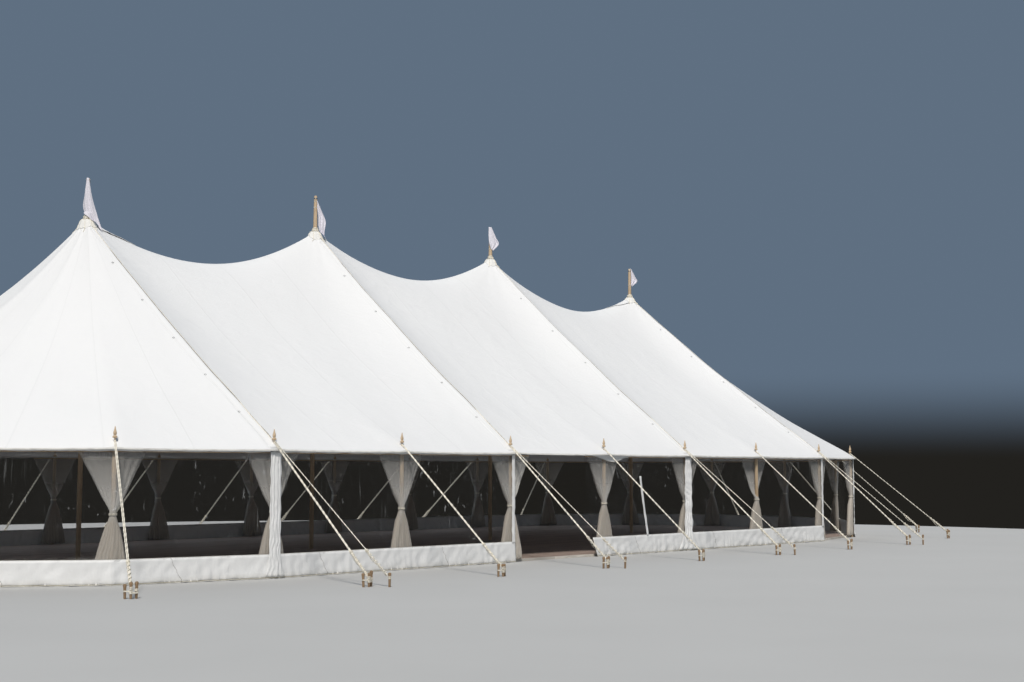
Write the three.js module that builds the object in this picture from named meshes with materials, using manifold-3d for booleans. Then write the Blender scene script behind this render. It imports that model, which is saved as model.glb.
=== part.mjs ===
// A traditional round-ended pole marquee: white canvas over four king poles and a ring of side poles,
// held by guy ropes and storm ropes, with clear window walls, drapes at the poles and a raised floor.
//
// Units are millimetres. The origin is the middle of the plan at ground level, +X runs along the
// ridge, -Y is the front with the wide doorway, and +Z is up.

import * as THREE from "three";
import { mergeVertices } from "three/addons/utils/BufferGeometryUtils.js";
import Module from "manifold-3d";

const wasm = await Module();
wasm.setup();

// Plan
const KING_SPACING = 6100;
const KING_COUNT = 4;
const HALF_WIDTH = 6400;
const POLES_PER_SIDE = 7;
const SEGMENTS_PER_END = 7;
const POLE_SPACING = KING_SPACING / 2;
const HALF_STRAIGHT = ((KING_COUNT - 1) * KING_SPACING) / 2;
const KINGS_X = Array.from({ length: KING_COUNT }, (_, king) => king * KING_SPACING - HALF_STRAIGHT);

// Canvas roof
const CROWN_HEIGHTS = [7100, 7600, 7600, 7100];
const RIDGE_SAG = 870;
const RIDGE_ROUNDING = 0.15;
const STRAIGHT_SHARE = 5 / 7;
const EAVE_HEIGHT = 2335;
const EAVE_DIP = 30;
const EAVE_SCALLOP = 30;
const OVERHANG = 130;
const OVERHANG_SLOPE = 0.66;
const VALANCE_DEPTH = 40;
const VALANCE_THICKNESS = 10;
const CANVAS_THICKNESS = 12;
const CROWN_START = 30;
const ROOF_RUNS = [0, 0.07, 0.22, 0.45, 0.72, 1];
const COLUMNS_PER_POLE_BAY = 4;

// Poles
const KING_RADIUS = 50;
const KING_TIP_RADIUS = 38;
const KING_ABOVE_CROWN = 870;
const POLE_RADIUS = 40;
const POLE_SHOULDER_HEIGHT = 2280;
const POLE_SHOULDER_RISE = 16;
const SPIKE_RADIUS = 10;
const FINIAL_HEIGHT = 2397;
const FINIAL_LENGTH = 200;
const FINIAL_RADIUS = 40;
const FINIAL_BASE = 30;
const POLE_SIDES = 6;
const KING_SIDES = 12;
const KING_FACING = new THREE.Vector2(0, 1);
const UPWARDS = new THREE.Vector3(0, 0, 1);
const POLE_FLAT = POLE_RADIUS * Math.cos(Math.PI / POLE_SIDES);

// Ropes and stakes
const ROPE_RADIUS = 8;
const ROPE_SIDES = 4;
const ROPE_LOOP_SIDES = 6;
const STAKE_SIDES = 4;
const ROPE_LOOP_OUTER = 24;
const ROPE_LOOP_INNER = 12;
const ROPE_LOOP_THICKNESS = 16;
const STORM_START = 18;
const STORM_TOP_CLEARANCE = 3;
const STORM_ABOVE_CANVAS = 18;
const GUY_START = 14.2;
const GUY_HEIGHT = 2362;
const STORM_LOOP_HEIGHT = 2386;
const GUY_REACH = 2650;
const STORM_REACH = 2900;
const STAKE_SPREAD = 110;
const STAKE_RADIUS = 20;
const STAKE_HEIGHT = 260;
const STAKE_ROPE_HEIGHT = 150;
const LASHING_ABOVE_CROWN = 60;
const LASHING_THICKNESS = 40;
const LASHING_OUTER = 75;

// Webbing belt round the eave
const BELT_THICKNESS = 5;
const BELT_TOP = 8;
const BELT_BOTTOM = 34;
const BELT_END_GAP = 30;

// Window walls
const WALL_OFFSET = 75;
const WALL_THICKNESS = 8;
const WALL_BOTTOM = 4;
const WALL_TOP = 2228;
const SKIRT_TOP = 420;
const TOP_BAND_BOTTOM = 2185;
const JOINT_STRIP_HALF_WIDTH = 45;
const JOINT_STRIP_INSET = 1.5;
const SEAM_LAP = 20;
const DOOR_EDGE = 55;
const LOOSE_END = 500;
const TIE_WIDTH = 50;
const TIE_BOTTOM = 2203;
const TIE_TOP = 2223;
const TIE_LAP = 3;
const PANE_THICKNESS = 4;
const PANE_BOTTOM = 385;
const PANE_TOP = 2200;

// Drapes and the rail that carries them
const RAIL_SIZE = 24;
const RAIL_BOTTOM = 2170;
const RAIL_REACH = 600;
const DRAPE_TIE_HEIGHT = 1150;
const DRAPE_LEVELS = [
  { height: 60, halfWidth: 320, centre: -10, halfDepth: 62 },
  { height: DRAPE_TIE_HEIGHT, halfWidth: 85, centre: -12, halfDepth: 64 },
  { height: 1250, halfWidth: 125, centre: -18, halfDepth: 66 },
  { height: 1650, halfWidth: 345, centre: -20, halfDepth: 68 },
  { height: 2190, halfWidth: 580, centre: -20, halfDepth: 68 },
];

// Floor
const FLOOR_THICKNESS = 50;
const FLOOR_INSET = 55;

// Pennants: hoist height, fly and drop of the tail, from the top of each king pole
const PENNANT_THICKNESS = 8;
const PENNANT_BELOW_TIP = 60;
const PENNANT_DIRECTION = new THREE.Vector2(1, -1);
const PENNANTS = [
  { hoist: 620, fly: 300, tail: 950 },
  { hoist: 600, fly: 200, tail: 950 },
  { hoist: 640, fly: 250, tail: 480 },
  { hoist: 520, fly: 210, tail: 400 },
];

// Where the low end of each pennant's tail lies across its fly, and how far down the hoist its tip hangs
const PENNANT_TAIL_SHARE = 0.55;
const PENNANT_TIP_SHARE = 0.75;

// Clearance between pieces that touch, and how far a cutter runs past the face that it opens
const GAP = 0.35;
const CUT_MARGIN = 10;

// Corners of a solid that are closer than this are one corner
const MERGE_DISTANCE = 1e-3;

// Solids: closed shapes as three.js geometry and as manifold solids

function solidOf(geometry) {
  const bare = new THREE.BufferGeometry();
  bare.setAttribute("position", geometry.getAttribute("position").clone());
  if (geometry.index) bare.setIndex(geometry.index.clone());
  const merged = mergeVertices(bare, MERGE_DISTANCE);
  const vertProperties = new Float32Array(merged.getAttribute("position").array);
  const triVerts = new Uint32Array(merged.index.array);
  return new wasm.Manifold(new wasm.Mesh({ numProp: 3, vertProperties, triVerts }));
}

function geometryOf(solid) {
  const mesh = solid.getMesh();
  const positions = new Float32Array(mesh.numVert * 3);
  for (let i = 0; i < mesh.numVert; i++) {
    positions.set(mesh.vertProperties.subarray(i * mesh.numProp, i * mesh.numProp + 3), i * 3);
  }
  const geometry = new THREE.BufferGeometry();
  geometry.setAttribute("position", new THREE.BufferAttribute(positions, 3));
  geometry.setIndex(new THREE.BufferAttribute(new Uint32Array(mesh.triVerts), 1));
  geometry.computeVertexNormals();
  return geometry;
}

function joined(geometries) {
  return geometries.map(solidOf).reduce((sum, next) => sum.add(next));
}

function without(solid, cutters) {
  return cutters.reduce((rest, cutter) => rest.subtract(cutter), solid);
}

// A closed solid between two grids of points, one for each face of a sheet, turned to face out.
function sheetSolid(outer, inner) {
  const rows = outer.length;
  const columns = outer[0].length;
  const points = [...outer.flat(), ...inner.flat()];
  const at = (side, i, j) => side * rows * columns + i * columns + j;
  const faces = [];
  const quad = (a, b, c, d) => faces.push(a, b, c, a, c, d);
  for (let i = 0; i < rows - 1; i++) {
    for (let j = 0; j < columns - 1; j++) {
      quad(at(0, i, j), at(0, i + 1, j), at(0, i + 1, j + 1), at(0, i, j + 1));
      quad(at(1, i, j), at(1, i, j + 1), at(1, i + 1, j + 1), at(1, i + 1, j));
    }
  }
  const lastColumn = columns - 1;
  for (let i = 0; i < rows - 1; i++) {
    quad(at(0, i, 0), at(1, i, 0), at(1, i + 1, 0), at(0, i + 1, 0));
    quad(at(0, i, lastColumn), at(0, i + 1, lastColumn), at(1, i + 1, lastColumn), at(1, i, lastColumn));
  }
  const lastRow = rows - 1;
  for (let j = 0; j < columns - 1; j++) {
    quad(at(0, 0, j), at(0, 0, j + 1), at(1, 0, j + 1), at(1, 0, j));
    quad(at(0, lastRow, j), at(1, lastRow, j), at(1, lastRow, j + 1), at(0, lastRow, j + 1));
  }
  return facingOut(points, faces);
}

// A closed solid through a stack of loops with the same number of points, with flat ends.
function loftSolid(loops) {
  const count = loops[0].length;
  const faces = [];
  for (let level = 0; level < loops.length - 1; level++) {
    for (let k = 0; k < count; k++) {
      const next = (k + 1) % count;
      const low = level * count;
      const high = low + count;
      faces.push(low + k, low + next, high + next, low + k, high + next, high + k);
    }
  }
  const top = (loops.length - 1) * count;
  for (let k = 1; k < count - 1; k++) {
    faces.push(0, k + 1, k);
    faces.push(top, top + k, top + k + 1);
  }
  return facingOut(loops.flat(), faces);
}

function facingOut(points, faces) {
  let volume = 0;
  for (let i = 0; i < faces.length; i += 3) {
    const [a, b, c] = [points[faces[i]], points[faces[i + 1]], points[faces[i + 2]]];
    volume += a.dot(new THREE.Vector3().crossVectors(b, c));
  }
  if (volume < 0) faces.reverse();
  const geometry = new THREE.BufferGeometry().setFromPoints(points);
  geometry.setIndex(faces);
  return geometry;
}

// A straight round bar between two points.
function bar(from, to, radius, sides) {
  const along = new THREE.Vector3().subVectors(to, from);
  const geometry = new THREE.CylinderGeometry(radius, radius, along.length(), sides);
  const turn = new THREE.Quaternion().setFromUnitVectors(new THREE.Vector3(0, 1, 0), along.normalize());
  geometry.applyQuaternion(turn);
  const middle = new THREE.Vector3().addVectors(from, to).multiplyScalar(0.5);
  geometry.translate(middle.x, middle.y, middle.z);
  return geometry;
}

// A rope through points of one upright plane, mitred where it bends.
function ropeAlong(points, radius) {
  const last = points.length - 1;
  const loops = points.map((point, i) => {
    const before = points[Math.max(i - 1, 0)];
    const after = points[Math.min(i + 1, last)];
    const along = new THREE.Vector3().subVectors(after, before).normalize();
    const across = new THREE.Vector3().crossVectors(along, UPWARDS).normalize();
    const upper = new THREE.Vector3().crossVectors(across, along);
    const corners = [across, upper, across.clone().negate(), upper.clone().negate()];
    return corners.map((corner) => point.clone().addScaledVector(corner, radius));
  });
  return loftSolid(loops);
}

// A shape turned about a vertical axis, with one of its flats facing the given direction.
function turned(profile, sides, x, y, facing) {
  const points = profile.map(([radius, height]) => new THREE.Vector2(radius, height));
  const geometry = new THREE.LatheGeometry(points, sides);
  geometry.rotateX(Math.PI / 2);
  geometry.rotateZ(facing.angle() + Math.PI / 2 + Math.PI / sides);
  geometry.translate(x, y, 0);
  return geometry;
}

function post(radius, bottom, top, sides, x, y, facing) {
  return turned([[0, bottom], [radius, bottom], [radius, top], [0, top]], sides, x, y, facing);
}

// A flat many-sided ring round a vertical axis, such as a rope's loop over a spike.
function ring(x, y, height, inner, outer, thickness, sides) {
  const corner = (radius, k) => {
    const angle = (2 * Math.PI * k) / sides;
    return new THREE.Vector2(radius * Math.cos(angle), radius * Math.sin(angle));
  };
  const corners = Array.from({ length: sides }, (_, k) => k);
  const shape = new THREE.Shape(corners.map((k) => corner(outer, k)));
  shape.holes.push(new THREE.Path(corners.map((k) => corner(inner, k)).reverse()));
  const geometry = new THREE.ExtrudeGeometry(shape, { depth: thickness, bevelEnabled: false });
  geometry.translate(x, y, height - thickness / 2);
  return geometry;
}

// An upright box that stands at a pole: across is its width along the eave, and near and far are
// how far its two faces lie outside the pole's axis.
function boxAtPole(pole, across, near, far, bottom, top) {
  const geometry = new THREE.BoxGeometry(far - near, across, top - bottom);
  geometry.translate((near + far) / 2, 0, (bottom + top) / 2);
  geometry.rotateZ(pole.out.angle());
  geometry.translate(pole.x, pole.y, 0);
  return geometry;
}

// The ring of side poles, anticlockwise seen from above, from the front pole at the left king

function sidePoles() {
  const poles = [];
  const endAngle = Math.PI / SEGMENTS_PER_END;
  const addStraight = (side, number, y) => {
    const name = `${side}_pole_${number}`;
    const x = (number - 1) * POLE_SPACING - HALF_STRAIGHT;
    const out = new THREE.Vector2(0, Math.sign(y));
    poles.push({ name, x, y, out, onKingLine: number % 2 === 1 });
  };
  const addEnd = (end, number, side) => {
    const name = `${end}_end_pole_${number}`;
    const out = new THREE.Vector2(side * Math.sin(number * endAngle), -Math.cos(number * endAngle));
    const x = side * HALF_STRAIGHT + HALF_WIDTH * out.x;
    poles.push({ name, x, y: HALF_WIDTH * out.y, out, onKingLine: false });
  };
  for (let n = 1; n <= POLES_PER_SIDE; n++) addStraight("front", n, -HALF_WIDTH);
  for (let n = 1; n < SEGMENTS_PER_END; n++) addEnd("right", n, 1);
  for (let n = POLES_PER_SIDE; n >= 1; n--) addStraight("back", n, HALF_WIDTH);
  for (let n = SEGMENTS_PER_END - 1; n >= 1; n--) addEnd("left", n, -1);
  return poles;
}

const POLES = sidePoles();
const poleAt = (index) => POLES[(index + POLES.length) % POLES.length];
const planOf = (pole) => new THREE.Vector2(pole.x, pole.y);

// Unit vectors along the eave and out of it, for the bay after a pole.
function bayAfter(index) {
  const along = planOf(poleAt(index + 1)).sub(planOf(poleAt(index))).normalize();
  return { along, out: new THREE.Vector2(along.y, -along.x) };
}

// The point at a distance along the eave from a pole, on a line that runs outside the poles by offset.
function eavePoint(index, along, offset) {
  const before = bayAfter(index - 1);
  const after = bayAfter(index);
  const place = planOf(poleAt(index));
  if (along > 0) return place.addScaledVector(after.along, along).addScaledVector(after.out, offset);
  if (along < 0) return place.addScaledVector(before.along, along).addScaledVector(before.out, offset);
  const corner = new THREE.Vector2().addVectors(before.out, after.out);
  return place.addScaledVector(corner, offset / (1 + before.out.dot(after.out)));
}

// Canvas shape

// How far the canvas has fallen from crown to eave, for the share of the way out that it has run.
function fall(run) {
  return STRAIGHT_SHARE * run + (1 - STRAIGHT_SHARE) * (1 - (1 - run) ** 3);
}

// A hump of height 1 between two poles, for the eave's dip and scallop.
function hump(share) {
  return 4 * share * (1 - share);
}

// Points of one slope from its highest line down to the hem: reach outwards, top and underside.
function slopeProfile(start, edge, ridge, rounding, share) {
  const spread = (run) => Math.sqrt(run * run + rounding * rounding) - rounding;
  const points = ROOF_RUNS.map((run) => {
    const reach = Math.max(start, run * edge);
    const height = ridge - (ridge - EAVE_HEIGHT) * fall(spread(reach / edge) / spread(1));
    const dipped = height - EAVE_DIP * hump(share) * (reach / edge) ** 6;
    return { reach, top: dipped, innerReach: reach, under: dipped - CANVAS_THICKNESS };
  });
  const overhang = OVERHANG - EAVE_SCALLOP * hump(share);
  const reach = edge + overhang;
  const top = points[points.length - 1].top - OVERHANG_SLOPE * overhang;
  const under = top + OVERHANG_SLOPE * VALANCE_THICKNESS - CANVAS_THICKNESS;
  const innerReach = reach - VALANCE_THICKNESS;
  points.push({ reach, top, innerReach, under });
  points.push({ reach, top: top - VALANCE_DEPTH, innerReach, under: top - VALANCE_DEPTH });
  return points;
}

const ridgeHeight = (bay, share) =>
  THREE.MathUtils.lerp(CROWN_HEIGHTS[bay], CROWN_HEIGHTS[bay + 1], share) - RIDGE_SAG * hump(share);

// The roof between two king poles.
function roofBay(bay) {
  const columns = 2 * COLUMNS_PER_POLE_BAY;
  const outer = [];
  const inner = [];
  for (let column = 0; column <= columns; column++) {
    const share = column / columns;
    const rounding = RIDGE_ROUNDING * Math.sin(Math.PI * share) ** 2;
    const slope = slopeProfile(0, HALF_WIDTH, ridgeHeight(bay, share), rounding, (2 * share) % 1);
    const front = slope.slice(1).reverse().map((p) => ({ ...p, side: -1 }));
    const back = slope.map((p) => ({ ...p, side: 1 }));
    const across = [...front, ...back];
    const along = THREE.MathUtils.clamp(share * KING_SPACING, GAP / 2, KING_SPACING - GAP / 2);
    const x = KINGS_X[bay] + along;
    outer.push(across.map((p) => new THREE.Vector3(x, p.side * p.reach, p.top)));
    inner.push(across.map((p) => new THREE.Vector3(x, p.side * p.innerReach, p.under)));
  }
  return sheetSolid(outer, inner);
}

// The distance from an end king pole to the line of the end poles, and the share of the way
// between two of them, for an angle round the end.
function endEdge(angle) {
  const step = Math.PI / SEGMENTS_PER_END;
  const share = (angle / step) % 1;
  return { edge: (HALF_WIDTH * Math.cos(step / 2)) / Math.cos((share - 0.5) * step), share };
}

// Directions round a rounded end, from the front to the back.
const END_COLUMNS = SEGMENTS_PER_END * COLUMNS_PER_POLE_BAY;
const endAngleAt = (column) => (Math.PI * column) / END_COLUMNS;

function roofEnd(side) {
  const king = side < 0 ? 0 : KING_COUNT - 1;
  const outer = [];
  const inner = [];
  for (let column = 0; column <= END_COLUMNS; column++) {
    const angle = endAngleAt(column);
    const { edge, share } = endEdge(angle);
    const slope = slopeProfile(CROWN_START, edge, CROWN_HEIGHTS[king], 0, share);
    const place = (reach, height) =>
      new THREE.Vector3(
        KINGS_X[king] + side * (GAP / 2 + reach * Math.sin(angle)),
        -reach * Math.cos(angle),
        height,
      );
    outer.push(slope.map((p) => place(p.reach, p.top)));
    inner.push(slope.map((p) => place(p.innerReach, p.under)));
  }
  return sheetSolid(outer, inner);
}

// Holes in the canvas for the spikes of the side poles and for the king poles.
function canvasHoles() {
  const eyeletRadius = SPIKE_RADIUS + GAP / Math.cos(Math.PI / POLE_SIDES);
  const eyelets = POLES.map(({ x, y, out }) =>
    post(eyeletRadius, POLE_SHOULDER_HEIGHT, FINIAL_HEIGHT, POLE_SIDES, x, y, out),
  );
  const crowns = KINGS_X.map((x, king) =>
    post(KING_RADIUS + GAP, 0, CROWN_HEIGHTS[king] + KING_ABOVE_CROWN, KING_SIDES, x, 0, KING_FACING),
  );
  return [...eyelets, ...crowns].map(solidOf);
}

// Poles

function sidePole(pole) {
  const profile = [
    [0, 0],
    [POLE_RADIUS, 0],
    [POLE_RADIUS, POLE_SHOULDER_HEIGHT],
    [SPIKE_RADIUS, POLE_SHOULDER_HEIGHT + POLE_SHOULDER_RISE],
    [SPIKE_RADIUS, FINIAL_HEIGHT],
    [FINIAL_RADIUS, FINIAL_HEIGHT + FINIAL_BASE],
    [0, FINIAL_HEIGHT + FINIAL_LENGTH],
  ];
  return turned(profile, POLE_SIDES, pole.x, pole.y, pole.out);
}

// A king pole tapers from just above its lashing to its tip.
function kingTaper(index) {
  const start = CROWN_HEIGHTS[index] + LASHING_ABOVE_CROWN + LASHING_THICKNESS;
  return { start, tip: CROWN_HEIGHTS[index] + KING_ABOVE_CROWN };
}

function kingRadius(index, height) {
  const { start, tip } = kingTaper(index);
  return THREE.MathUtils.mapLinear(Math.max(height, start), start, tip, KING_RADIUS, KING_TIP_RADIUS);
}

function kingPole(index) {
  const { start: taperStart, tip } = kingTaper(index);
  const profile = [
    [0, 0],
    [KING_RADIUS, 0],
    [KING_RADIUS, taperStart],
    [KING_TIP_RADIUS, tip],
    [0, tip],
  ];
  return turned(profile, KING_SIDES, KINGS_X[index], 0, KING_FACING);
}

// Ropes and stakes

// A point at a pole, so far outside its axis and so far sideways along the eave.
function atPole(pole, outwards, sideways, height) {
  return new THREE.Vector3(
    pole.x + pole.out.x * outwards - pole.out.y * sideways,
    pole.y + pole.out.y * outwards + pole.out.x * sideways,
    height,
  );
}

function stake(foot) {
  return post(STAKE_RADIUS, 0, STAKE_HEIGHT, STAKE_SIDES, foot.x, foot.y, new THREE.Vector2(0, 1));
}

function ropeLoop(pole, height) {
  return ring(pole.x, pole.y, height, ROPE_LOOP_INNER, ROPE_LOOP_OUTER, ROPE_LOOP_THICKNESS, ROPE_LOOP_SIDES);
}

// A rope from a pole's spike down to its stake, with the stake.
function stakedRope(pole, from, height, reach, sideways) {
  const start = atPole(pole, from, (sideways * from) / (reach - from), height);
  const foot = atPole(pole, reach, sideways, STAKE_ROPE_HEIGHT);
  return [bar(start, foot, ROPE_RADIUS, ROPE_SIDES), stake(foot)];
}

function stormRope(index) {
  const x = KINGS_X[index];
  const height = CROWN_HEIGHTS[index] + LASHING_ABOVE_CROWN;
  const inner = (KING_RADIUS + GAP) / Math.cos(Math.PI / KING_SIDES);
  const lashing = ring(x, 0, height, inner, LASHING_OUTER, LASHING_THICKNESS, KING_SIDES);
  const pieces = [lashing];
  for (const pole of POLES.filter((p) => p.onKingLine && p.x === x)) {
    const side = Math.sign(pole.y);
    const top = new THREE.Vector3(x, side * (KING_RADIUS + ROPE_RADIUS + STORM_TOP_CLEARANCE), height);
    const low = atPole(pole, -STORM_START, 0, STORM_LOOP_HEIGHT);
    const onCanvas = slopeProfile(0, HALF_WIDTH, CROWN_HEIGHTS[index], 0, 0)
      .slice(1, ROOF_RUNS.length - 1)
      .map((p) => new THREE.Vector3(x, side * p.reach, p.top + STORM_ABOVE_CANVAS));
    pieces.push(ropeAlong([top, ...onCanvas, low], ROPE_RADIUS), ropeLoop(pole, STORM_LOOP_HEIGHT));
    pieces.push(...stakedRope(pole, STORM_START, STORM_LOOP_HEIGHT, STORM_REACH, -side * STAKE_SPREAD));
  }
  return joined(pieces);
}

// Outer edge of the canvas at a straight side or round an end, one point for each roof column.
function eaveEdge(side, columns) {
  const edge = [];
  const straight = side === "front" || side === "back";
  for (let column = 0; column <= columns; column++) {
    const share = straight ? (column / COLUMNS_PER_POLE_BAY) % 1 : endEdge(endAngleAt(column)).share;
    const overhang = OVERHANG - EAVE_SCALLOP * hump(share);
    const height = EAVE_HEIGHT - EAVE_DIP * hump(share) - OVERHANG_SLOPE * overhang;
    const withGuy = straight || (column > 0 && column < columns);
    const pulledUp = withGuy && column % COLUMNS_PER_POLE_BAY === 0;
    if (straight) {
      const out = side === "front" ? -1 : 1;
      const x = (column * POLE_SPACING) / COLUMNS_PER_POLE_BAY - HALF_STRAIGHT;
      const place = new THREE.Vector2(x, out * (HALF_WIDTH + overhang));
      edge.push({ place, out: new THREE.Vector2(0, out), height, pulledUp });
    } else {
      const sign = side === "left" ? -1 : 1;
      const angle = endAngleAt(column);
      const out = new THREE.Vector2(sign * Math.sin(angle), -Math.cos(angle));
      const place = new THREE.Vector2(sign * (HALF_STRAIGHT + GAP / 2), 0);
      place.addScaledVector(out, endEdge(angle).edge + overhang);
      edge.push({ place, out, height, pulledUp });
    }
  }
  return edge;
}

// The height of a guy rope's middle where it passes the hem.
function ropeHeightAtHem() {
  const slope = (GUY_HEIGHT - STAKE_ROPE_HEIGHT) / (GUY_REACH - GUY_START);
  return GUY_HEIGHT - slope * (OVERHANG - GUY_START);
}

// The belt lies on the outside of the valance, and each guy rope pulls its top up at a pole.
function beltAlong(edge) {
  const face = (offset) =>
    edge.map(({ place, out, height, pulledUp }) => {
      const spot = place.clone().addScaledVector(out, offset);
      const top = pulledUp ? ropeHeightAtHem() : height - BELT_TOP;
      const bottom = height - BELT_BOTTOM;
      return [new THREE.Vector3(spot.x, spot.y, bottom), new THREE.Vector3(spot.x, spot.y, top)];
    });
  return sheetSolid(face(GAP + BELT_THICKNESS), face(GAP));
}

// The webbing belt of one side, with the guy rope and stake of each of its poles.
function guys(side) {
  const straight = side === "front" || side === "back";
  const columns = straight ? (POLES_PER_SIDE - 1) * COLUMNS_PER_POLE_BAY : END_COLUMNS;
  const edge = eaveEdge(side, columns);
  if (!straight) {
    for (const [end, next] of [[0, 1], [columns, columns - 1]]) {
      const length = edge[end].place.distanceTo(edge[next].place);
      edge[end].place = edge[end].place.clone().lerp(edge[next].place, BELT_END_GAP / length);
      edge[end].height = THREE.MathUtils.lerp(edge[end].height, edge[next].height, BELT_END_GAP / length);
    }
  }
  const pieces = [beltAlong(edge)];
  for (const pole of POLES.filter((p) => p.name.startsWith(side))) {
    const sideways = pole.onKingLine ? Math.sign(pole.y) * STAKE_SPREAD : 0;
    pieces.push(...stakedRope(pole, GUY_START, GUY_HEIGHT, GUY_REACH, sideways));
  }
  return joined(pieces);
}

// Walls and drapes

// Each run of wall goes from one pole to another, in the order of the ring of poles. Its ends stand
// so far past their poles at a doorway, and meet the next run's end elsewhere. joints are its upright
// strips, and drapes are the first and last pole that has one.
const RUNS = [
  { name: "front", from: 3, to: 6, pastStart: LOOSE_END, pastEnd: DOOR_EDGE, joints: [4, 6], drapes: [3, 6] },
  { name: "right", from: 7, to: 13, pastStart: DOOR_EDGE, joints: [7, 9, 11, 13], drapes: [7, 13] },
  { name: "back", from: 13, to: 19, joints: [13, 15, 17, 19], drapes: [14, 18] },
  { name: "left", from: 19, to: 28, pastEnd: DOOR_EDGE, joints: [19, 20, 22, 24, 26, 28], drapes: [19, 28] },
];
const indexesFrom = (first, last) => Array.from({ length: last - first + 1 }, (_, k) => first + k);

// Where a run of wall goes in plan: each place is a pole's index and a distance along the eave from it.
// At a doorway the wall ends past its pole, and elsewhere it stops just short of the next run's end.
function wallPath(run) {
  const { from, to } = run;
  const corners = indexesFrom(from + 1, to - 1).map((index) => ({ index, along: 0 }));
  const doorStart = [{ index: from, along: -run.pastStart }, { index: from, along: 0 }];
  const doorEnd = [{ index: to, along: 0 }, { index: to, along: run.pastEnd }];
  const start = run.pastStart ? doorStart : [{ index: from, along: GAP }];
  const end = run.pastEnd ? doorEnd : [{ index: to, along: -GAP }];
  return [...start, ...corners, ...end];
}

// A strip that follows a path round the eave, between two offsets and two heights.
function strip(path, near, far, bottom, top) {
  const face = (offset) =>
    path.map(({ index, along }) => {
      const place = eavePoint(index, along, offset);
      return [new THREE.Vector3(place.x, place.y, bottom), new THREE.Vector3(place.x, place.y, top)];
    });
  return sheetSolid(face(far), face(near));
}

function wallFrame(run) {
  const path = wallPath(run);
  const far = WALL_OFFSET + WALL_THICKNESS;
  const pieces = [
    strip(path, WALL_OFFSET, far, WALL_BOTTOM, SKIRT_TOP),
    strip(path, WALL_OFFSET, far, TOP_BAND_BOTTOM, WALL_TOP),
  ];
  for (const index of run.joints) {
    const atStart = index === run.from && !run.pastStart;
    const atEnd = index === run.to && !run.pastEnd;
    const around = [
      atStart ? JOINT_STRIP_INSET : -JOINT_STRIP_HALF_WIDTH,
      atStart || atEnd ? null : 0,
      atEnd ? -JOINT_STRIP_INSET : JOINT_STRIP_HALF_WIDTH,
    ];
    const places = around.filter((along) => along !== null).map((along) => ({ index, along }));
    const [near, front] = [WALL_OFFSET + JOINT_STRIP_INSET, far - JOINT_STRIP_INSET];
    pieces.push(strip(places, near, front, SKIRT_TOP - SEAM_LAP, TOP_BAND_BOTTOM + SEAM_LAP));
  }
  const tieEnd = WALL_OFFSET + TIE_LAP;
  for (const index of indexesFrom(run.from, run.to)) {
    const shared = (index === run.from && !run.pastStart) || (index === run.to && !run.pastEnd);
    if (shared) continue;
    pieces.push(boxAtPole(poleAt(index), TIE_WIDTH, POLE_FLAT + GAP, tieEnd, TIE_BOTTOM, TIE_TOP));
  }
  return joined(pieces);
}

function windowPane(run) {
  const far = WALL_OFFSET - GAP;
  return strip(wallPath(run), far - PANE_THICKNESS, far, PANE_BOTTOM, PANE_TOP);
}

// One drape all round its pole: wide at the rail, tied in at its waist, and flared below the tie.
function drape(index) {
  const loops = DRAPE_LEVELS.map(({ height, halfWidth, centre, halfDepth }) => {
    const places = [
      [-halfWidth, centre],
      [-halfWidth / 2, centre + halfDepth],
      [0, centre + halfDepth],
      [halfWidth / 2, centre + halfDepth],
      [halfWidth, centre],
      [halfWidth / 2, centre - halfDepth],
      [0, centre - halfDepth],
      [-halfWidth / 2, centre - halfDepth],
    ];
    return places.map(([along, offset]) => {
      const place = eavePoint(index, along, offset);
      return new THREE.Vector3(place.x, place.y, height);
    });
  });
  return loftSolid(loops);
}

function drapes(run) {
  const near = -POLE_FLAT - GAP - RAIL_SIZE;
  const [first, last] = run.drapes;
  const draped = indexesFrom(first, last);
  const path = draped.map((index) => ({ index, along: 0 }));
  path.unshift({ index: first, along: -RAIL_REACH });
  path.push({ index: last, along: RAIL_REACH });
  const rail = strip(path, near, near + RAIL_SIZE, RAIL_BOTTOM, RAIL_BOTTOM + RAIL_SIZE);
  const hung = joined([rail, ...draped.map(drape)]);
  const holeRadius = POLE_RADIUS + GAP / Math.cos(Math.PI / POLE_SIDES);
  const poles = draped.map((index) => {
    const { x, y, out } = poleAt(index);
    return solidOf(post(holeRadius, -CUT_MARGIN, POLE_SHOULDER_HEIGHT, POLE_SIDES, x, y, out));
  });
  return without(hung, poles);
}

// Floor

function floor() {
  const corners = POLES.map((_, index) => eavePoint(index, 0, -FLOOR_INSET));
  const shape = new THREE.Shape(corners);
  const slab = new THREE.ExtrudeGeometry(shape, { depth: FLOOR_THICKNESS, bevelEnabled: false });
  const holeTop = FLOOR_THICKNESS + CUT_MARGIN;
  const holes = KINGS_X.map((x) =>
    solidOf(post(KING_RADIUS + GAP, -CUT_MARGIN, holeTop, KING_SIDES, x, 0, KING_FACING)),
  );
  return without(solidOf(slab), holes);
}

// Pennants

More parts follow.
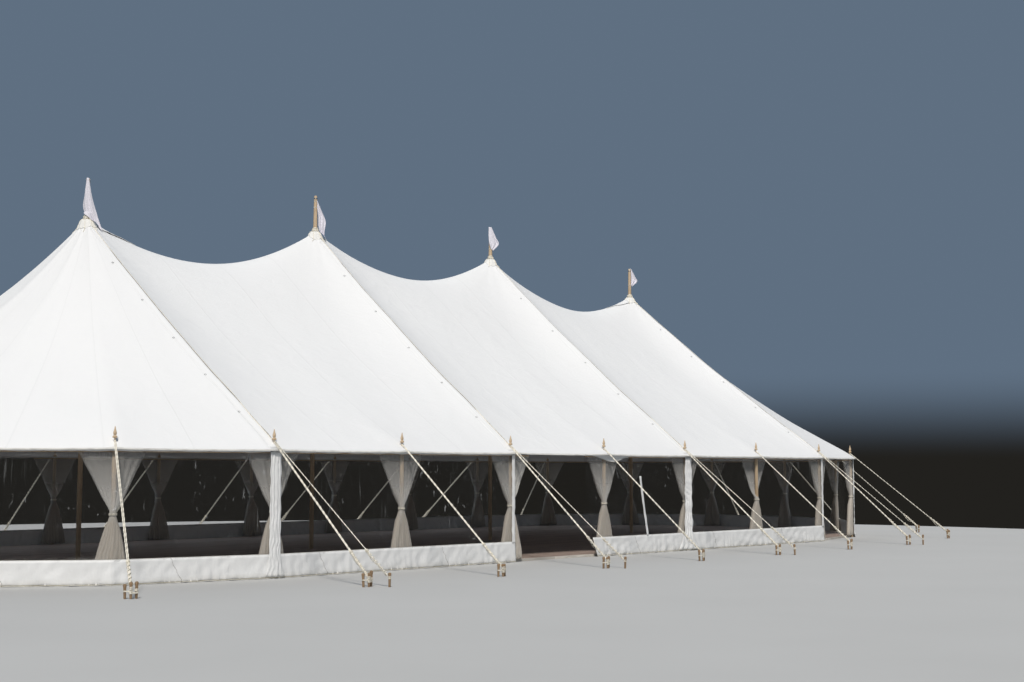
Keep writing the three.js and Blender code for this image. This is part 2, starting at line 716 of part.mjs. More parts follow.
function pennant(index) {
  const { hoist, fly, tail } = PENNANTS[index];
  const top = CROWN_HEIGHTS[index] + KING_ABOVE_CROWN - PENNANT_BELOW_TIP;
  const near = (height) => kingRadius(index, height) + GAP;
  const outline = [
    [near(top), top],
    [near(top - hoist), top - hoist],
    [KING_RADIUS + fly * PENNANT_TAIL_SHARE, top - tail],
    [KING_RADIUS + fly, top - hoist * PENNANT_TIP_SHARE],
  ];
  const shape = new THREE.Shape(outline.map(([x, y]) => new THREE.Vector2(x, y)));
  const geometry = new THREE.ExtrudeGeometry(shape, { depth: PENNANT_THICKNESS, bevelEnabled: false });
  geometry.translate(0, 0, -PENNANT_THICKNESS / 2);
  geometry.rotateX(Math.PI / 2);
  geometry.rotateZ(PENNANT_DIRECTION.angle());
  geometry.translate(KINGS_X[index], 0, 0);
  return geometry;
}

// Materials

function surface(color, roughness, opacity = 1) {
  const transparent = opacity < 1;
  return new THREE.MeshStandardMaterial({ color, roughness, metalness: 0, transparent, opacity });
}

const canvas = surface(0xf2f2f0, 0.75);
const paleTimber = surface(0xb98d5e, 0.55);
const rope = surface(0xd9cfb8, 0.9);
const wallFabric = surface(0xeeeeec, 0.7);
const clearFilm = surface(0xdfe5e6, 0.1, 0.3);
const voile = surface(0xe3e2de, 0.85);
const floorBoards = surface(0x9a8478, 0.8);
const flagCloth = surface(0xf4f4f4, 0.8);

// Assembly

const marquee = new THREE.Group();

function place(name, geometry, material) {
  const mesh = new THREE.Mesh(geometry, material);
  mesh.name = name;
  marquee.add(mesh);
}

const holes = canvasHoles();
const openedRoof = (geometry) => geometryOf(without(solidOf(geometry), holes));
place("roof_end_left", openedRoof(roofEnd(-1)), canvas);
for (let bay = 0; bay < KING_COUNT - 1; bay++) place(`roof_bay_${bay + 1}`, openedRoof(roofBay(bay)), canvas);
place("roof_end_right", openedRoof(roofEnd(1)), canvas);

for (let king = 0; king < KING_COUNT; king++) {
  place(`king_pole_${king + 1}`, kingPole(king), paleTimber);
  place(`storm_rope_${king + 1}`, geometryOf(stormRope(king)), rope);
  place(`pennant_${king + 1}`, pennant(king), flagCloth);
}
for (const pole of POLES) place(pole.name, sidePole(pole), paleTimber);
for (const side of ["front", "right", "back", "left"]) place(`${side}_guys`, geometryOf(guys(side)), rope);

for (const run of RUNS) {
  place(`${run.name}_wall_frame`, geometryOf(wallFrame(run)), wallFabric);
  place(`${run.name}_clear_wall`, windowPane(run), clearFilm);
  place(`${run.name}_drapes`, geometryOf(drapes(run)), voile);
}
place("floor", geometryOf(floor()), floorBoards);

export default marquee;
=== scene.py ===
"""The finish of a round-ended pole marquee: canvas, walls, drapes, ropes, poles, floor and pennants.

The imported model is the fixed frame. Lengths are in metres. The origin is at ground level in the middle
of the plan, +X runs along the ridge and -Y is the front with the wide doorway.
"""

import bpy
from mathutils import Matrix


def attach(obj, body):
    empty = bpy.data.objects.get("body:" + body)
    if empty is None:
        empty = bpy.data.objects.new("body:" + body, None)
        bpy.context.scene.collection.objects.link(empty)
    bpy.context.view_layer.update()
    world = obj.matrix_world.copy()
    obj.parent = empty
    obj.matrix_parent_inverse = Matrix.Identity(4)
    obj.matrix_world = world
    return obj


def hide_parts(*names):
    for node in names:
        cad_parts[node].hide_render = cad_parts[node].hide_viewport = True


bl_info = {
    "name": "Pole Marquee",
    "version": (1, 0, 0),
    "blender": (4, 5, 0),
    "location": "3D View > Sidebar > Marquee",
    "description": "Dresses a round-ended pole marquee: canvas, walls, drapes, ropes, poles, floor and flags",
    "category": "Object",
}

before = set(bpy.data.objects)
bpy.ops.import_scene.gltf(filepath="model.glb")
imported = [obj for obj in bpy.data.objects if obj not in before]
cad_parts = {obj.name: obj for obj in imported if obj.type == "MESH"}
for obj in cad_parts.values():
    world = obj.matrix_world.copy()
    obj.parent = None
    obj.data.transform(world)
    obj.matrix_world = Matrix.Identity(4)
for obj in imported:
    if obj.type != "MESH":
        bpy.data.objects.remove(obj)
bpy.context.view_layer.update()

import math
from contextlib import contextmanager

import bpy
import numpy as np
from bpy.props import FloatProperty, FloatVectorProperty, IntProperty, PointerProperty
from bpy.types import NodeSocket, Operator, Panel, PropertyGroup, Scene
from mathutils import Matrix, Vector

TURN = 2 * math.pi

# Plan
KING_SPACING = 6.1
KING_COUNT = 4
POLE_SPACING = KING_SPACING / 2
HALF_STRAIGHT = (KING_COUNT - 1) * KING_SPACING / 2
KINGS_X = [i * KING_SPACING - HALF_STRAIGHT for i in range(KING_COUNT)]
HALF_WIDTH = 6.4
POLES_PER_SIDE = 7
SEGMENTS_PER_END = 7
END_STEP = math.pi / SEGMENTS_PER_END

# Canvas roof
CROWN_HEIGHTS = [7.1, 7.6, 7.6, 7.1]
RIDGE_SAG = 0.87
RIDGE_ROUNDING = 0.15
STRAIGHT_SHARE = 5 / 7
KING_STRAIGHT = 0.94
KING_LINE_REACH = 1.5
EAVE_HEIGHT = 2.335
EAVE_DIP = 0.03
EAVE_SCALLOP = 0.03
OVERHANG = 0.13
OVERHANG_SLOPE = 0.66
VALANCE_DEPTH = 0.04
VALANCE_STEPS = 3
CANVAS_CLOTH = 0.004

# Poles
KING_RADIUS = 0.05
KING_TIP_RADIUS = 0.038
KING_ABOVE_CROWN = 0.87
KING_TIPS = [crown + KING_ABOVE_CROWN for crown in CROWN_HEIGHTS]
POLE_RADIUS = 0.04
POLE_SHOULDER = 2.28
SPIKE_RADIUS = 0.01
FINIAL_BASE = 2.397
FINIAL_TIP = 2.597

# Ropes and stakes
GUY_START = 0.0142
GUY_HEIGHT = 2.362
GUY_REACH = 2.65
STORM_START = 0.018
STORM_HEIGHT = 2.386
STORM_REACH = 2.9
STAKE_SPREAD = 0.11
STAKE_HEIGHT = 0.26
STAKE_ROPE_HEIGHT = 0.15
LASHING_ABOVE_CROWN = 0.06

# Walls, drapes and floor
WALL_OFFSET = 0.079
SKIRT_BOTTOM = 0.006
SKIRT_TOP = 0.42
BAND_BOTTOM = 2.185
BAND_TOP = 2.228
STRIP_HALF_WIDTH = 0.045
DOOR_EDGE = 0.055
LOOSE_END = 0.5
PANE_OFFSET = 0.0726
PANE_BOTTOM = 0.385
PANE_TOP = 2.2
RAIL_OFFSET = -0.047
RAIL_HEIGHT = 2.182
RAIL_SIZE = 0.024
RAIL_REACH = 0.6
TIE_HEIGHT = 1.15
FLOOR_TOP = 0.05
FLOOR_INSET = 0.055

# Runs of wall: each goes from one pole of the ring to another. past is how far it stands past its first
# and last pole at a doorway, or 0 where it meets the next run.
RUNS = [
    {"name": "front", "start": 3, "end": 6, "past": (LOOSE_END, DOOR_EDGE), "joints": (4, 6),
     "drapes": range(3, 7)},
    {"name": "right", "start": 7, "end": 13, "past": (DOOR_EDGE, 0), "joints": (7, 9, 11, 13),
     "drapes": range(7, 14)},
    {"name": "back", "start": 13, "end": 19, "past": (0, 0), "joints": (13, 15, 17, 19),
     "drapes": range(14, 19)},
    {"name": "left", "start": 19, "end": 28, "past": (0, DOOR_EDGE), "joints": (19, 20, 22, 24, 26, 28),
     "drapes": range(19, 29)},
]


# Settings a user would change

def length_setting(name, description, default, least, most):
    return FloatProperty(name=name, description=description, default=default, min=least, max=most,
                         subtype="DISTANCE", unit="LENGTH")


class MarqueeSizes(PropertyGroup):
    """Sizes of what the finish adds to the marquee."""

    skirt_fold: length_setting("Skirt Fold Width", "Usual distance between two folds of the wall skirt",
                               0.2, 0.05, 1.0)
    skirt_swell: length_setting("Skirt Fold Depth", "How far the skirt's folds stand out at the hem",
                                0.024, 0.0, 0.1)
    canvas_folds: length_setting("Canvas Fold Depth", "Depth of the pleats round the crowns of the roof",
                                 0.016, 0.0, 0.1)
    rope_width: length_setting("Rope Diameter", "Diameter of one guy rope", 0.021, 0.006, 0.04)
    board_width: length_setting("Board Width", "Width of one floor board", 0.145, 0.06, 0.4)
    drape_pleats: IntProperty(name="Drape Pleats", description="Number of pleats across each face of a drape",
                              default=9, min=4, max=30)


def colour_setting(name, description, default):
    return FloatVectorProperty(
        name=name, description=description, default=default, size=3, min=0.0, max=1.0, subtype="COLOR")


class MarqueeColours(PropertyGroup):
    """Base colours of the marquee's materials."""

    canvas: colour_setting("Canvas", "Roof canvas", (0.88, 0.88, 0.875))
    fabric: colour_setting("Wall Fabric", "Skirts, bands and joint strips of the walls", (0.8, 0.8, 0.79))
    voile: colour_setting("Voile", "Drapes at the poles", (0.78, 0.76, 0.72))
    flag: colour_setting("Flag Cloth", "Pennants on the king poles", (0.8, 0.78, 0.84))
    rope: colour_setting("Rope", "Guy ropes, storm ropes and lashings", (0.8, 0.755, 0.65))
    webbing: colour_setting("Webbing", "Belt round the eave, wall cords and ties", (0.78, 0.77, 0.73))
    timber: colour_setting("Timber", "Turned poles", (0.66, 0.5, 0.33))
    stake: colour_setting("Stake", "Wooden stakes", (0.3, 0.2, 0.115))
    board: colour_setting("Floor Boards", "Raised floor", (0.34, 0.26, 0.22))


# The ring of side poles, anticlockwise seen from above, from the front pole at the left king

def straight_poles(name, side):
    places = [(number * POLE_SPACING - HALF_STRAIGHT, side * HALF_WIDTH) for number in range(POLES_PER_SIDE)]
    return [{"name": f"{name}_pole_{number + 1}", "place": np.array(place), "out": np.array([0.0, side]),
             "king_line": number % 2 == 0} for number, place in enumerate(places)]


def end_poles(name, side):
    poles = []
    for number in range(1, SEGMENTS_PER_END):
        out = np.array([side * math.sin(number * END_STEP), -math.cos(number * END_STEP)])
        place = np.array([side * HALF_STRAIGHT, 0.0]) + HALF_WIDTH * out
        poles.append({"name": f"{name}_end_pole_{number}", "place": place, "out": out, "king_line": False})
    return poles


POLES = [*straight_poles("front", -1), *end_poles("right", 1), *reversed(straight_poles("back", 1)),
         *reversed(end_poles("left", -1))]


def pole_at(index):
    return POLES[index % len(POLES)]


def bay_after(index):
    """Unit vectors along the eave and out of it, for the bay after a pole."""
    along = pole_at(index + 1)["place"] - pole_at(index)["place"]
    along = along / np.linalg.norm(along)
    return along, np.array([along[1], -along[0]])


def eave_point(index, along, offset):
    """The point so far along the eave from a pole, on a line that runs outside the poles by offset."""
    place = pole_at(index)["place"]
    along_before, out_before = bay_after(index - 1)
    along_after, out_after = bay_after(index)
    if along > 0:
        return place + along_after * along + out_after * offset
    if along < 0:
        return place + along_before * along + out_before * offset
    return place + (out_before + out_after) * offset / (1 + out_before @ out_after)


def at_pole(pole, outwards, sideways, height):
    """A point at a pole, so far outside its axis and so far sideways along the eave."""
    x, y = pole["place"]
    ox, oy = pole["out"]
    return np.array([x + ox * outwards - oy * sideways, y + oy * outwards + ox * sideways, height])


# Parts of meshes: points with faces of four and three corners, and the cloth's own coordinates

def part(points, quads, triangles=None, uv=None):
    points = np.asarray(points, float).reshape(-1, 3)
    triangles = np.zeros((0, 3), int) if triangles is None else np.asarray(triangles, int).reshape(-1, 3)
    quads = np.asarray(quads, int).reshape(-1, 4)
    uv = points[:, :2] if uv is None else np.asarray(uv, float).reshape(-1, 2)
    return {"points": points, "quads": quads, "triangles": triangles, "uv": uv}


def joined(parts):
    starts = np.cumsum([0] + [len(p["points"]) for p in parts])
    whole = {key: np.concatenate([p[key] for p in parts]) for key in ("points", "uv")}
    for key in ("quads", "triangles"):
        whole[key] = np.concatenate([p[key] + start for p, start in zip(parts, starts)])
    return whole


def mesh_object(name, parts):
    """A new object from one part or several, with a UV map."""
    whole = joined(parts) if isinstance(parts, list) else parts
    mesh = bpy.data.meshes.new(name)
    faces = whole["quads"].tolist() + whole["triangles"].tolist()
    mesh.from_pydata(whole["points"].tolist(), [], faces)
    corner = np.empty(len(mesh.loops), np.int32)
    mesh.loops.foreach_get("vertex_index", corner)
    layer = mesh.uv_layers.new(name="UVMap")
    layer.data.foreach_set("uv", whole["uv"][corner].astype(np.float32).ravel())
    mesh.update()
    piece = bpy.data.objects.new(name, mesh)
    bpy.context.scene.collection.objects.link(piece)
    return piece


def grid_normals(grid, wrap=False):
    across = np.roll(grid, -1, 1) - np.roll(grid, 1, 1) if wrap else np.gradient(grid, axis=1)
    normals = np.cross(across, np.gradient(grid, axis=0))
    return normals / np.maximum(np.linalg.norm(normals, axis=2, keepdims=True), 1e-12)


def run_lengths(grid, axis):
    """How far each point of a grid lies along its row or column."""
    steps = np.linalg.norm(np.diff(grid, axis=axis), axis=2)
    pad = [(0, 0), (0, 0)]
    pad[axis] = (1, 0)
    return np.pad(np.cumsum(steps, axis=axis), pad)


def grid_quads(rows, columns, wrap):
    """Faces between the points of a grid, which are counted row by row."""
    row, column = np.meshgrid(np.arange(rows - 1), np.arange(columns if wrap else columns - 1), indexing="ij")
    after = (column + 1) % columns
    return np.stack([row * columns + column, row * columns + after,
                     (row + 1) * columns + after, (row + 1) * columns + column], -1).reshape(-1, 4)


def cloth_part(grid, thickness, wrap=False, uv=None):
    """A closed thin sheet round a grid of rows and columns. It faces the side that the columns, then
    the rows, turn to. With wrap its last column meets its first."""
    rows, columns = grid.shape[:2]
    normals = grid_normals(grid, wrap)
    points = np.concatenate([(grid + normals * thickness / 2).reshape(-1, 3),
                             (grid - normals * thickness / 2).reshape(-1, 3)])
    back = rows * columns
    front = grid_quads(rows, columns, wrap)
    last = (rows - 1) * columns
    if wrap:
        around = np.arange(columns)
        edges = [(around, (around + 1) % columns), (last + (around + 1) % columns, last + around)]
    else:
        loop = np.concatenate([np.arange(columns), np.arange(1, rows) * columns + columns - 1,
                               last + np.arange(columns - 2, -1, -1), np.arange(rows - 2, 0, -1) * columns])
        edges = [(loop, np.roll(loop, -1))]
    rims = [np.stack([b, a, a + back, b + back], -1) for a, b in edges]
    if uv is None:
        uv = np.stack([run_lengths(grid, 1), run_lengths(grid, 0)], -1)
    uv = uv.reshape(-1, 2)
    return part(points, np.concatenate([front, front[:, ::-1] + back, *rims]), uv=np.concatenate([uv, uv]))


def distances(path):
    """How far each point of a path lies along it."""
    return np.concatenate([[0], np.cumsum(np.linalg.norm(np.diff(path, axis=0), axis=1))])


def evenly(path, step):
    """Points at even steps along a path of straight stretches."""
    path = np.asarray(path, float)
    lengths = distances(path)
    count = max(2, math.ceil(lengths[-1] / step) + 1)
    where = np.linspace(0, lengths[-1], count)
    return np.stack([np.interp(where, lengths, path[:, k]) for k in range(path.shape[1])], -1), where


def frames_along(path):
    """Two directions across a path at each of its points, turning no more than the path does."""
    tangents = np.gradient(path, axis=0)
    tangents /= np.linalg.norm(tangents, axis=1, keepdims=True)
    side = np.cross(tangents[0], [0.0, 0.0, 1.0])
    if np.linalg.norm(side) < 0.1:
        side = np.cross(tangents[0], [0.0, 1.0, 0.0])
    sides = []
    for tangent in tangents:
        side = side - tangent * (side @ tangent)
        side = side / np.linalg.norm(side)
        sides.append(side)
    sides = np.array(sides)
    return sides, np.cross(tangents, sides)


def tube_part(path, section, twist=None, size=None):
    """A closed tube along a path. section holds (angle, radius) pairs, twist the turn at each point, and
    size a scale for each point."""
    count = len(path)
    first, second = frames_along(path)
    angle, radius = np.array(section).T
    turn = np.zeros(count) if twist is None else twist
    grow = np.ones(count) if size is None else size
    angles = angle[None, :] + turn[:, None]
    reach = radius[None, :] * grow[:, None]
    rings = (path[:, None, :] + (np.cos(angles) * reach)[..., None] * first[:, None, :]
             + (np.sin(angles) * reach)[..., None] * second[:, None, :])
    sides = len(section)
    around = np.arange(sides)
    ends = [count * sides, count * sides + 1]
    low = np.stack([np.full(sides, ends[0]), (around + 1) % sides, around], -1)
    high = np.stack([np.full(sides, ends[1]), (count - 1) * sides + around,
                     (count - 1) * sides + (around + 1) % sides], -1)
    points = np.concatenate([rings.reshape(-1, 3), path[:1], path[-1:]])
    along = distances(path)
    share = np.broadcast_to(np.arange(sides) / sides, (count, sides))
    uv = np.stack([share, np.broadcast_to(along[:, None], (count, sides))], -1).reshape(-1, 2)
    uv = np.concatenate([uv, [[0.5, 0.0], [0.5, along[-1]]]])
    return part(points, grid_quads(count, sides, True), np.concatenate([low, high]), uv)


ROPE_LAY = 5.5
ROPE_VALLEY = 0.72


def rope_part(path, diameter, step=0.034):
    """A three-strand rope along a path."""
    points, where = evenly(path, step)
    strand = [(math.pi * k / 3, diameter / 2 * (ROPE_VALLEY if k % 2 else 1.0)) for k in range(6)]
    return tube_part(points, strand, twist=TURN * where / (ROPE_LAY * diameter * 3))


def coil_path(centre, radius, bottom, top, turns, start_angle=0.0, points_per_turn=14):
    """Points of a rope wound round an upright pole."""
    count = max(3, round(turns * points_per_turn) + 1)
    share = np.linspace(0, 1, count)
    angle = start_angle + TURN * turns * share
    return np.stack([centre[0] + radius * np.cos(angle), centre[1] + radius * np.sin(angle),
                     bottom + (top - bottom) * share], -1)


def ripples(seed, count, *coordinates):
    """Smooth random waves between about -1 and 1, from coordinates given in wavelengths."""
    draw = np.random.default_rng(seed)
    total = 0
    for _ in range(count):
        direction = draw.normal(size=len(coordinates))
        direction = direction / np.linalg.norm(direction) * draw.uniform(0.7, 1.4)
        phase = draw.uniform(0, TURN)
        total = total + np.sin(TURN * sum(d * c for d, c in zip(direction, coordinates)) + phase)
    return total / math.sqrt(count) / 1.2


# Modelling by hand: a primitive, edit mode and copies

def deselect_all():
    bpy.ops.object.select_all(action="DESELECT")


def select_only(piece):
    deselect_all()
    piece.select_set(True)
    bpy.context.view_layer.objects.active = piece


@contextmanager
def whole_mesh():
    """Edit mode on the active piece, with its whole mesh selected."""
    bpy.ops.object.mode_set(mode="EDIT")
    bpy.ops.mesh.select_all(action="SELECT")
    yield
    bpy.ops.object.mode_set(mode="OBJECT")


def turned_piece(name, profile, sides):
    """A round piece on the Z axis, drawn up ring by ring from its foot. profile is (radius, height) pairs."""
    deselect_all()
    (radius, height), *rings = profile
    bpy.ops.mesh.primitive_circle_add(vertices=sides, radius=radius, fill_type="NGON",
                                      location=(0, 0, height))
    piece = bpy.context.active_object
    piece.name = name
    bpy.ops.object.transform_apply(location=True)
    with whole_mesh():
        for next_radius, next_height in rings:
            rise = (0, 0, next_height - height)
            bpy.ops.mesh.extrude_region_move(TRANSFORM_OT_translate={"value": rise})
            scale = next_radius / radius
            bpy.ops.transform.resize(value=(scale, scale, 1), center_override=(0, 0, next_height))
            radius, height = next_radius, next_height
        bpy.ops.mesh.select_all(action="SELECT")
        bpy.ops.mesh.normals_make_consistent(inside=False)
    return piece


def unit_cube():
    deselect_all()
    bpy.ops.mesh.primitive_cube_add(size=1, location=(0, 0, 0))
    return bpy.context.active_object


def copy_of(piece, name, matrix):
    """A copy with its own mesh, put in place."""
    twin = bpy.data.objects.new(name, piece.data.copy())
    twin.data.transform(matrix)
    bpy.context.scene.collection.objects.link(twin)
    return twin


def join_objects(name, pieces):
    deselect_all()
    for piece in pieces:
        piece.select_set(True)
    bpy.context.view_layer.objects.active = pieces[0]
    bpy.ops.object.join()
    whole = bpy.context.active_object
    whole.name = name
    return whole


def remove(piece):
    bpy.data.objects.remove(piece)


def finished(piece, finish, replaces=(), smooth=40, slot=None):
    """Gives a piece its finish, its shading and its place in the assembly."""
    piece.data.materials.clear()
    piece.data.materials.append(material(finish))
    select_only(piece)
    bpy.ops.object.shade_smooth_by_angle(angle=math.radians(smooth))
    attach(piece, "root")
    slot = slot or SLOTS.get(finish, finish)
    if replaces:
        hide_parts(*replaces)
    return piece


def built(name, parts, finish, replaces=(), smooth=180, slot=None):
    """A finished piece from one part or several."""
    return finished(mesh_object(name, parts), finish, replaces, smooth, slot)


def roped(name, parts, finish="rope", replaces=(), smooth=60, slot=None):
    """A finished piece of rope or narrow webbing."""
    return built(name, parts, finish, replaces, smooth, slot)


# Materials

MATERIAL_PREFIX = "marquee_"
COLLAR_CANVAS = (0.86, 0.85, 0.81)
# Whitish colour of the film's streaks: partly scuffing, partly a painted highlight on its folds
FILM_SCUFF_AND_HIGHLIGHT_COLOUR = (0.93, 0.95, 0.96)
VOILE_GATHERED = (0.64, 0.58, 0.5)
# Dark cord: the skirt's seam cords, and the king-line lacing, whose dark colour also serves as a painted
# shadow line beside the storm rope
DARK_CORD_AND_SHADOW_LINE = (0.2, 0.18, 0.15)
EDGE_COLOUR = (0.6, 0.56, 0.5)
IRON_COLOUR = (0.36, 0.37, 0.38)
RUST_COLOUR = (0.2, 0.19, 0.17)
WEATHER_COLOUR = (0.5, 0.48, 0.42)
SOIL_COLOUR = (0.42, 0.38, 0.29)
FOOT_COLOUR = (0.6, 0.55, 0.42)
SCUFF_COLOUR = (0.5, 0.46, 0.41)
STAGE_COLOUR = (0.5, 0.5, 0.49)
PANEL_WIDTH = 1.525


class Graph:
    """A short way to write the nodes of a material or a world. Inputs are values or other nodes' outputs."""

    def __init__(self, owner, shader):
        owner.use_nodes = True
        self.owner = owner
        self.nodes, self.links = owner.node_tree.nodes, owner.node_tree.links
        self.shader = self.nodes[shader]

    def put(self, socket, value):
        if isinstance(value, NodeSocket):
            self.links.new(value, socket)
        else:
            socket.default_value = value

    def give(self, name, value):
        self.put(self.shader.inputs[name], value)

    def node(self, kind, inputs, **settings):
        made = self.nodes.new(f"ShaderNode{kind}")
        for key, value in settings.items():
            setattr(made, key, value)
        for key, value in inputs.items():
            self.put(made.inputs[key], value)
        return made

    def object_place(self, *stretch, kind="Object"):
        source = self.node("TexCoord", {}).outputs[kind]
        return self.node("VectorMath", {0: source, 1: stretch or (1, 1, 1)}, operation="MULTIPLY").outputs[0]

    def cloth_place(self, *stretch):
        return self.object_place(*stretch, kind="UV")

    def axis(self, vector, name):
        return self.node("SeparateXYZ", {0: vector}).outputs[name]

    def math(self, operation, first, second=0.0, third=0.0):
        return self.node("Math", {0: first, 1: second, 2: third}, operation=operation).outputs[0]

    def times(self, first, second):
        return self.math("MULTIPLY", first, second)

    def noise(self, vector, scale=1.0, detail=3.0, roughness=0.5, distortion=0.0):
        made = self.node("TexNoise", {"Vector": vector, "Scale": scale, "Detail": detail,
                                      "Roughness": roughness, "Distortion": distortion})
        return made.outputs["Fac"]

    def wave(self, value, length, sharpness=1.0):
        """Ridges one length apart, from 0 to 1."""
        cosine = self.math("COSINE", self.times(value, TURN / length))
        return self.math("POWER", self.math("MULTIPLY_ADD", cosine, 0.5, 0.5), sharpness)

    def weave(self, pitch):
        """Threads that pass over and under each other, from 0 to 1."""
        place = self.cloth_place()
        warp, weft = (self.wave(self.axis(place, name), pitch) for name in "XY")
        return self.times(self.math("ADD", warp, weft), 0.5)

    def blend(self, share, first, second):
        made = self.node("Mix", {"Factor": share}, data_type="RGBA")
        for socket, value in zip((made.inputs[6], made.inputs[7]), (first, second)):
            self.put(socket, value if isinstance(value, NodeSocket) else (*value, 1.0))
        return made.outputs[2]

    def span(self, value, low, high, out_low=0.0, out_high=1.0):
        inputs = {"Value": value, "From Min": low, "From Max": high, "To Min": out_low, "To Max": out_high}
        return self.node("MapRange", inputs).outputs["Result"]

    def bump(self, *heights):
        """heights are (height, depth in metres) pairs, laid one on another."""
        normal = None
        for height, depth in heights:
            inputs = {"Height": height, "Distance": depth, "Strength": 1.0}
            if normal is not None:
                inputs["Normal"] = normal
            normal = self.node("Bump", inputs).outputs["Normal"]
        self.give("Normal", normal)


def new_material(name, roughness, specular):
    graph = Graph(bpy.data.materials.new(MATERIAL_PREFIX + name), "Principled BSDF")
    graph.give("Roughness", roughness)
    graph.give("Specular IOR Level", specular)
    return graph


def tint(colour, factor):
    return tuple(min(1.0, channel * factor) for channel in colour)


def canvas_material(name, colour):
    """Proofed white canvas: sewn panels, soft creases, faint grey in the lows, rain marks down the slope."""
    graph = new_material(name, 0.62, 0.25)
    place = graph.object_place()
    seam = graph.wave(graph.axis(graph.cloth_place(), "X"), PANEL_WIDTH, 900.0)
    marks = graph.noise(graph.cloth_place(1.6, 0.22, 1.0), 1.0, 5.0, 0.6)
    clouds = graph.noise(place, 0.55, 4.0, 0.55)
    grey = graph.times(graph.span(clouds, 0.42, 0.75), graph.span(marks, 0.35, 0.7))
    shade = graph.blend(graph.times(grey, 0.25), colour, tint(colour, 0.86))
    graph.give("Base Color", graph.blend(graph.times(seam, 0.2), shade, tint(colour, 0.8)))
    graph.give("Roughness", graph.span(clouds, 0.3, 0.7, 0.56, 0.7))
    graph.bump((graph.noise(place, 2.6, 3.0, 0.45, 0.7), 0.012),
               (graph.noise(place, 11.0, 3.0, 0.5, 0.4), 0.0015), (seam, 0.002), (graph.weave(0.004), 0.0004))
    graph.give("Sheen Weight", 0.08)
    return graph.owner


def fabric_material(name, colour):
    """White wall fabric with a fine weave, small creases and a cream line at its foot."""
    graph = new_material(name, 0.5, 0.35)
    place = graph.object_place()
    height = graph.axis(place, "Z")
    soil = graph.times(graph.span(height, 0.12, 0.0), graph.noise(place, 9.0, 4.0))
    clouds = graph.noise(place, 3.0, 3.0)
    shade = graph.blend(graph.span(clouds, 0.35, 0.75), colour, tint(colour, 0.93))
    shade = graph.blend(graph.times(soil, 0.55), shade, SOIL_COLOUR)
    graph.give("Base Color", graph.blend(graph.span(height, 0.03, 0.024), shade, FOOT_COLOUR))
    graph.give("Roughness", graph.span(clouds, 0.3, 0.7, 0.42, 0.56))
    graph.bump((graph.noise(graph.object_place(1, 1, 0.45), 13.0, 3.0, 0.5, 0.6), 0.008),
               (graph.weave(0.003), 0.0003))
    return graph.owner


def film_material(name, colour):
    """Clear window film: fine upright streaks and slanting creases, whiter and less clear, that are partly
    scuffing and partly painted highlights for light caught on its folds.
    """
    graph = new_material(name, 0.08, 0.14)
    slack = graph.noise(graph.cloth_place(0.8, 0.7, 1.0), 1.0, 2.0, 0.5, 1.6)
    streaks = graph.noise(graph.cloth_place(34.0, 1.1, 1.0), 1.0, 3.0, 0.55, 0.4)
    slants = graph.noise(graph.cloth_place(7.0, 3.2, 1.0), 1.0, 2.0, 0.5, 2.4)
    # Painted highlights, partly scuffing: upright streaks and slanting creases that turn the film whiter and
    # less clear
    upright = graph.times(graph.span(streaks, 0.6, 0.78), graph.span(slack, 0.45, 0.7))
    slanting = graph.times(graph.span(slants, 0.64, 0.7), graph.span(slack, 0.5, 0.35))
    marks = graph.math("MAXIMUM", upright, slanting)
    graph.give("Base Color", graph.blend(marks, tint(colour, 0.03), tint(colour, 0.75)))
    graph.give("Alpha", graph.math("MULTIPLY_ADD", marks, 0.16, 0.07))
    graph.give("Roughness", graph.span(slack, 0.4, 0.75, 0.05, 0.14))
    graph.bump((slack, 0.03), (slants, 0.004))
    return graph.owner


def voile_material(name, colour):
    """Open voile: clear where it hangs wide, close and cream where it is gathered, finely lined."""
    graph = new_material(name, 0.85, 0.15)
    height = graph.axis(graph.object_place(), "Z")
    shade = graph.blend(graph.span(height, 1.3, 1.0), colour, VOILE_GATHERED)
    threads = graph.noise(graph.cloth_place(70.0, 1.2, 1.0), 1.0, 3.0)
    lines = graph.span(threads, 0.4, 0.7, 0.0, 0.5)
    graph.give("Base Color", graph.blend(lines, shade, tint(colour, 0.8)))
    graph.bump((threads, 0.0012), (graph.weave(0.002), 0.0002))
    graph.give("Sheen Weight", 0.25)
    gathered = graph.math("POWER", graph.span(height, DRAPE_TOP, TIE_HEIGHT), 2.2)
    streaks = graph.span(threads, 0.35, 0.65, -0.04, 0.06)
    graph.give("Alpha", graph.math("ADD", graph.math("MULTIPLY_ADD", gathered, 0.46, 0.15), streaks))
    return graph.owner


def flag_material(name, colour):
    """Light flag cloth with a stitched edge."""
    graph = new_material(name, 0.7, 0.25)
    place = graph.object_place()
    clouds = graph.span(graph.noise(place, 5.0, 3.0), 0.4, 0.8, 0.0, 0.6)
    graph.give("Base Color", graph.blend(clouds, colour, tint(colour, 0.88)))
    hem = graph.wave(graph.axis(graph.cloth_place(), "X"), 0.6, 400.0)
    graph.bump((hem, 0.001), (graph.noise(place, 16.0, 3.0, 0.5, 0.5), 0.004), (graph.weave(0.0015), 0.0002))
    return graph.owner


def rope_material(name, colour):
    """Natural three-strand rope: fibres that follow the lay, painted shade banded round the strands, greyed
    by weather.
    """
    graph = new_material(name, 0.88, 0.2)
    fibres = graph.noise(graph.cloth_place(40.0, 120.0, 1.0), 1.0, 3.0, 0.6, 1.2)
    # Painted shade: a lighter and a darker band round each strand of the lay
    strand_shade_band = graph.wave(graph.axis(graph.cloth_place(), "X"), 1 / 3, 2.0)
    shade = graph.blend(graph.span(fibres, 0.35, 0.7), colour, tint(colour, 0.68))
    shade = graph.blend(graph.times(strand_shade_band, 0.3), tint(colour, 1.12), shade)
    weather = graph.span(graph.noise(graph.object_place(), 1.7, 3.0), 0.45, 0.7, 0.0, 0.45)
    graph.give("Base Color", graph.blend(weather, shade, WEATHER_COLOUR))
    graph.bump((fibres, 0.0015))
    graph.give("Sheen Weight", 0.1)
    return graph.owner


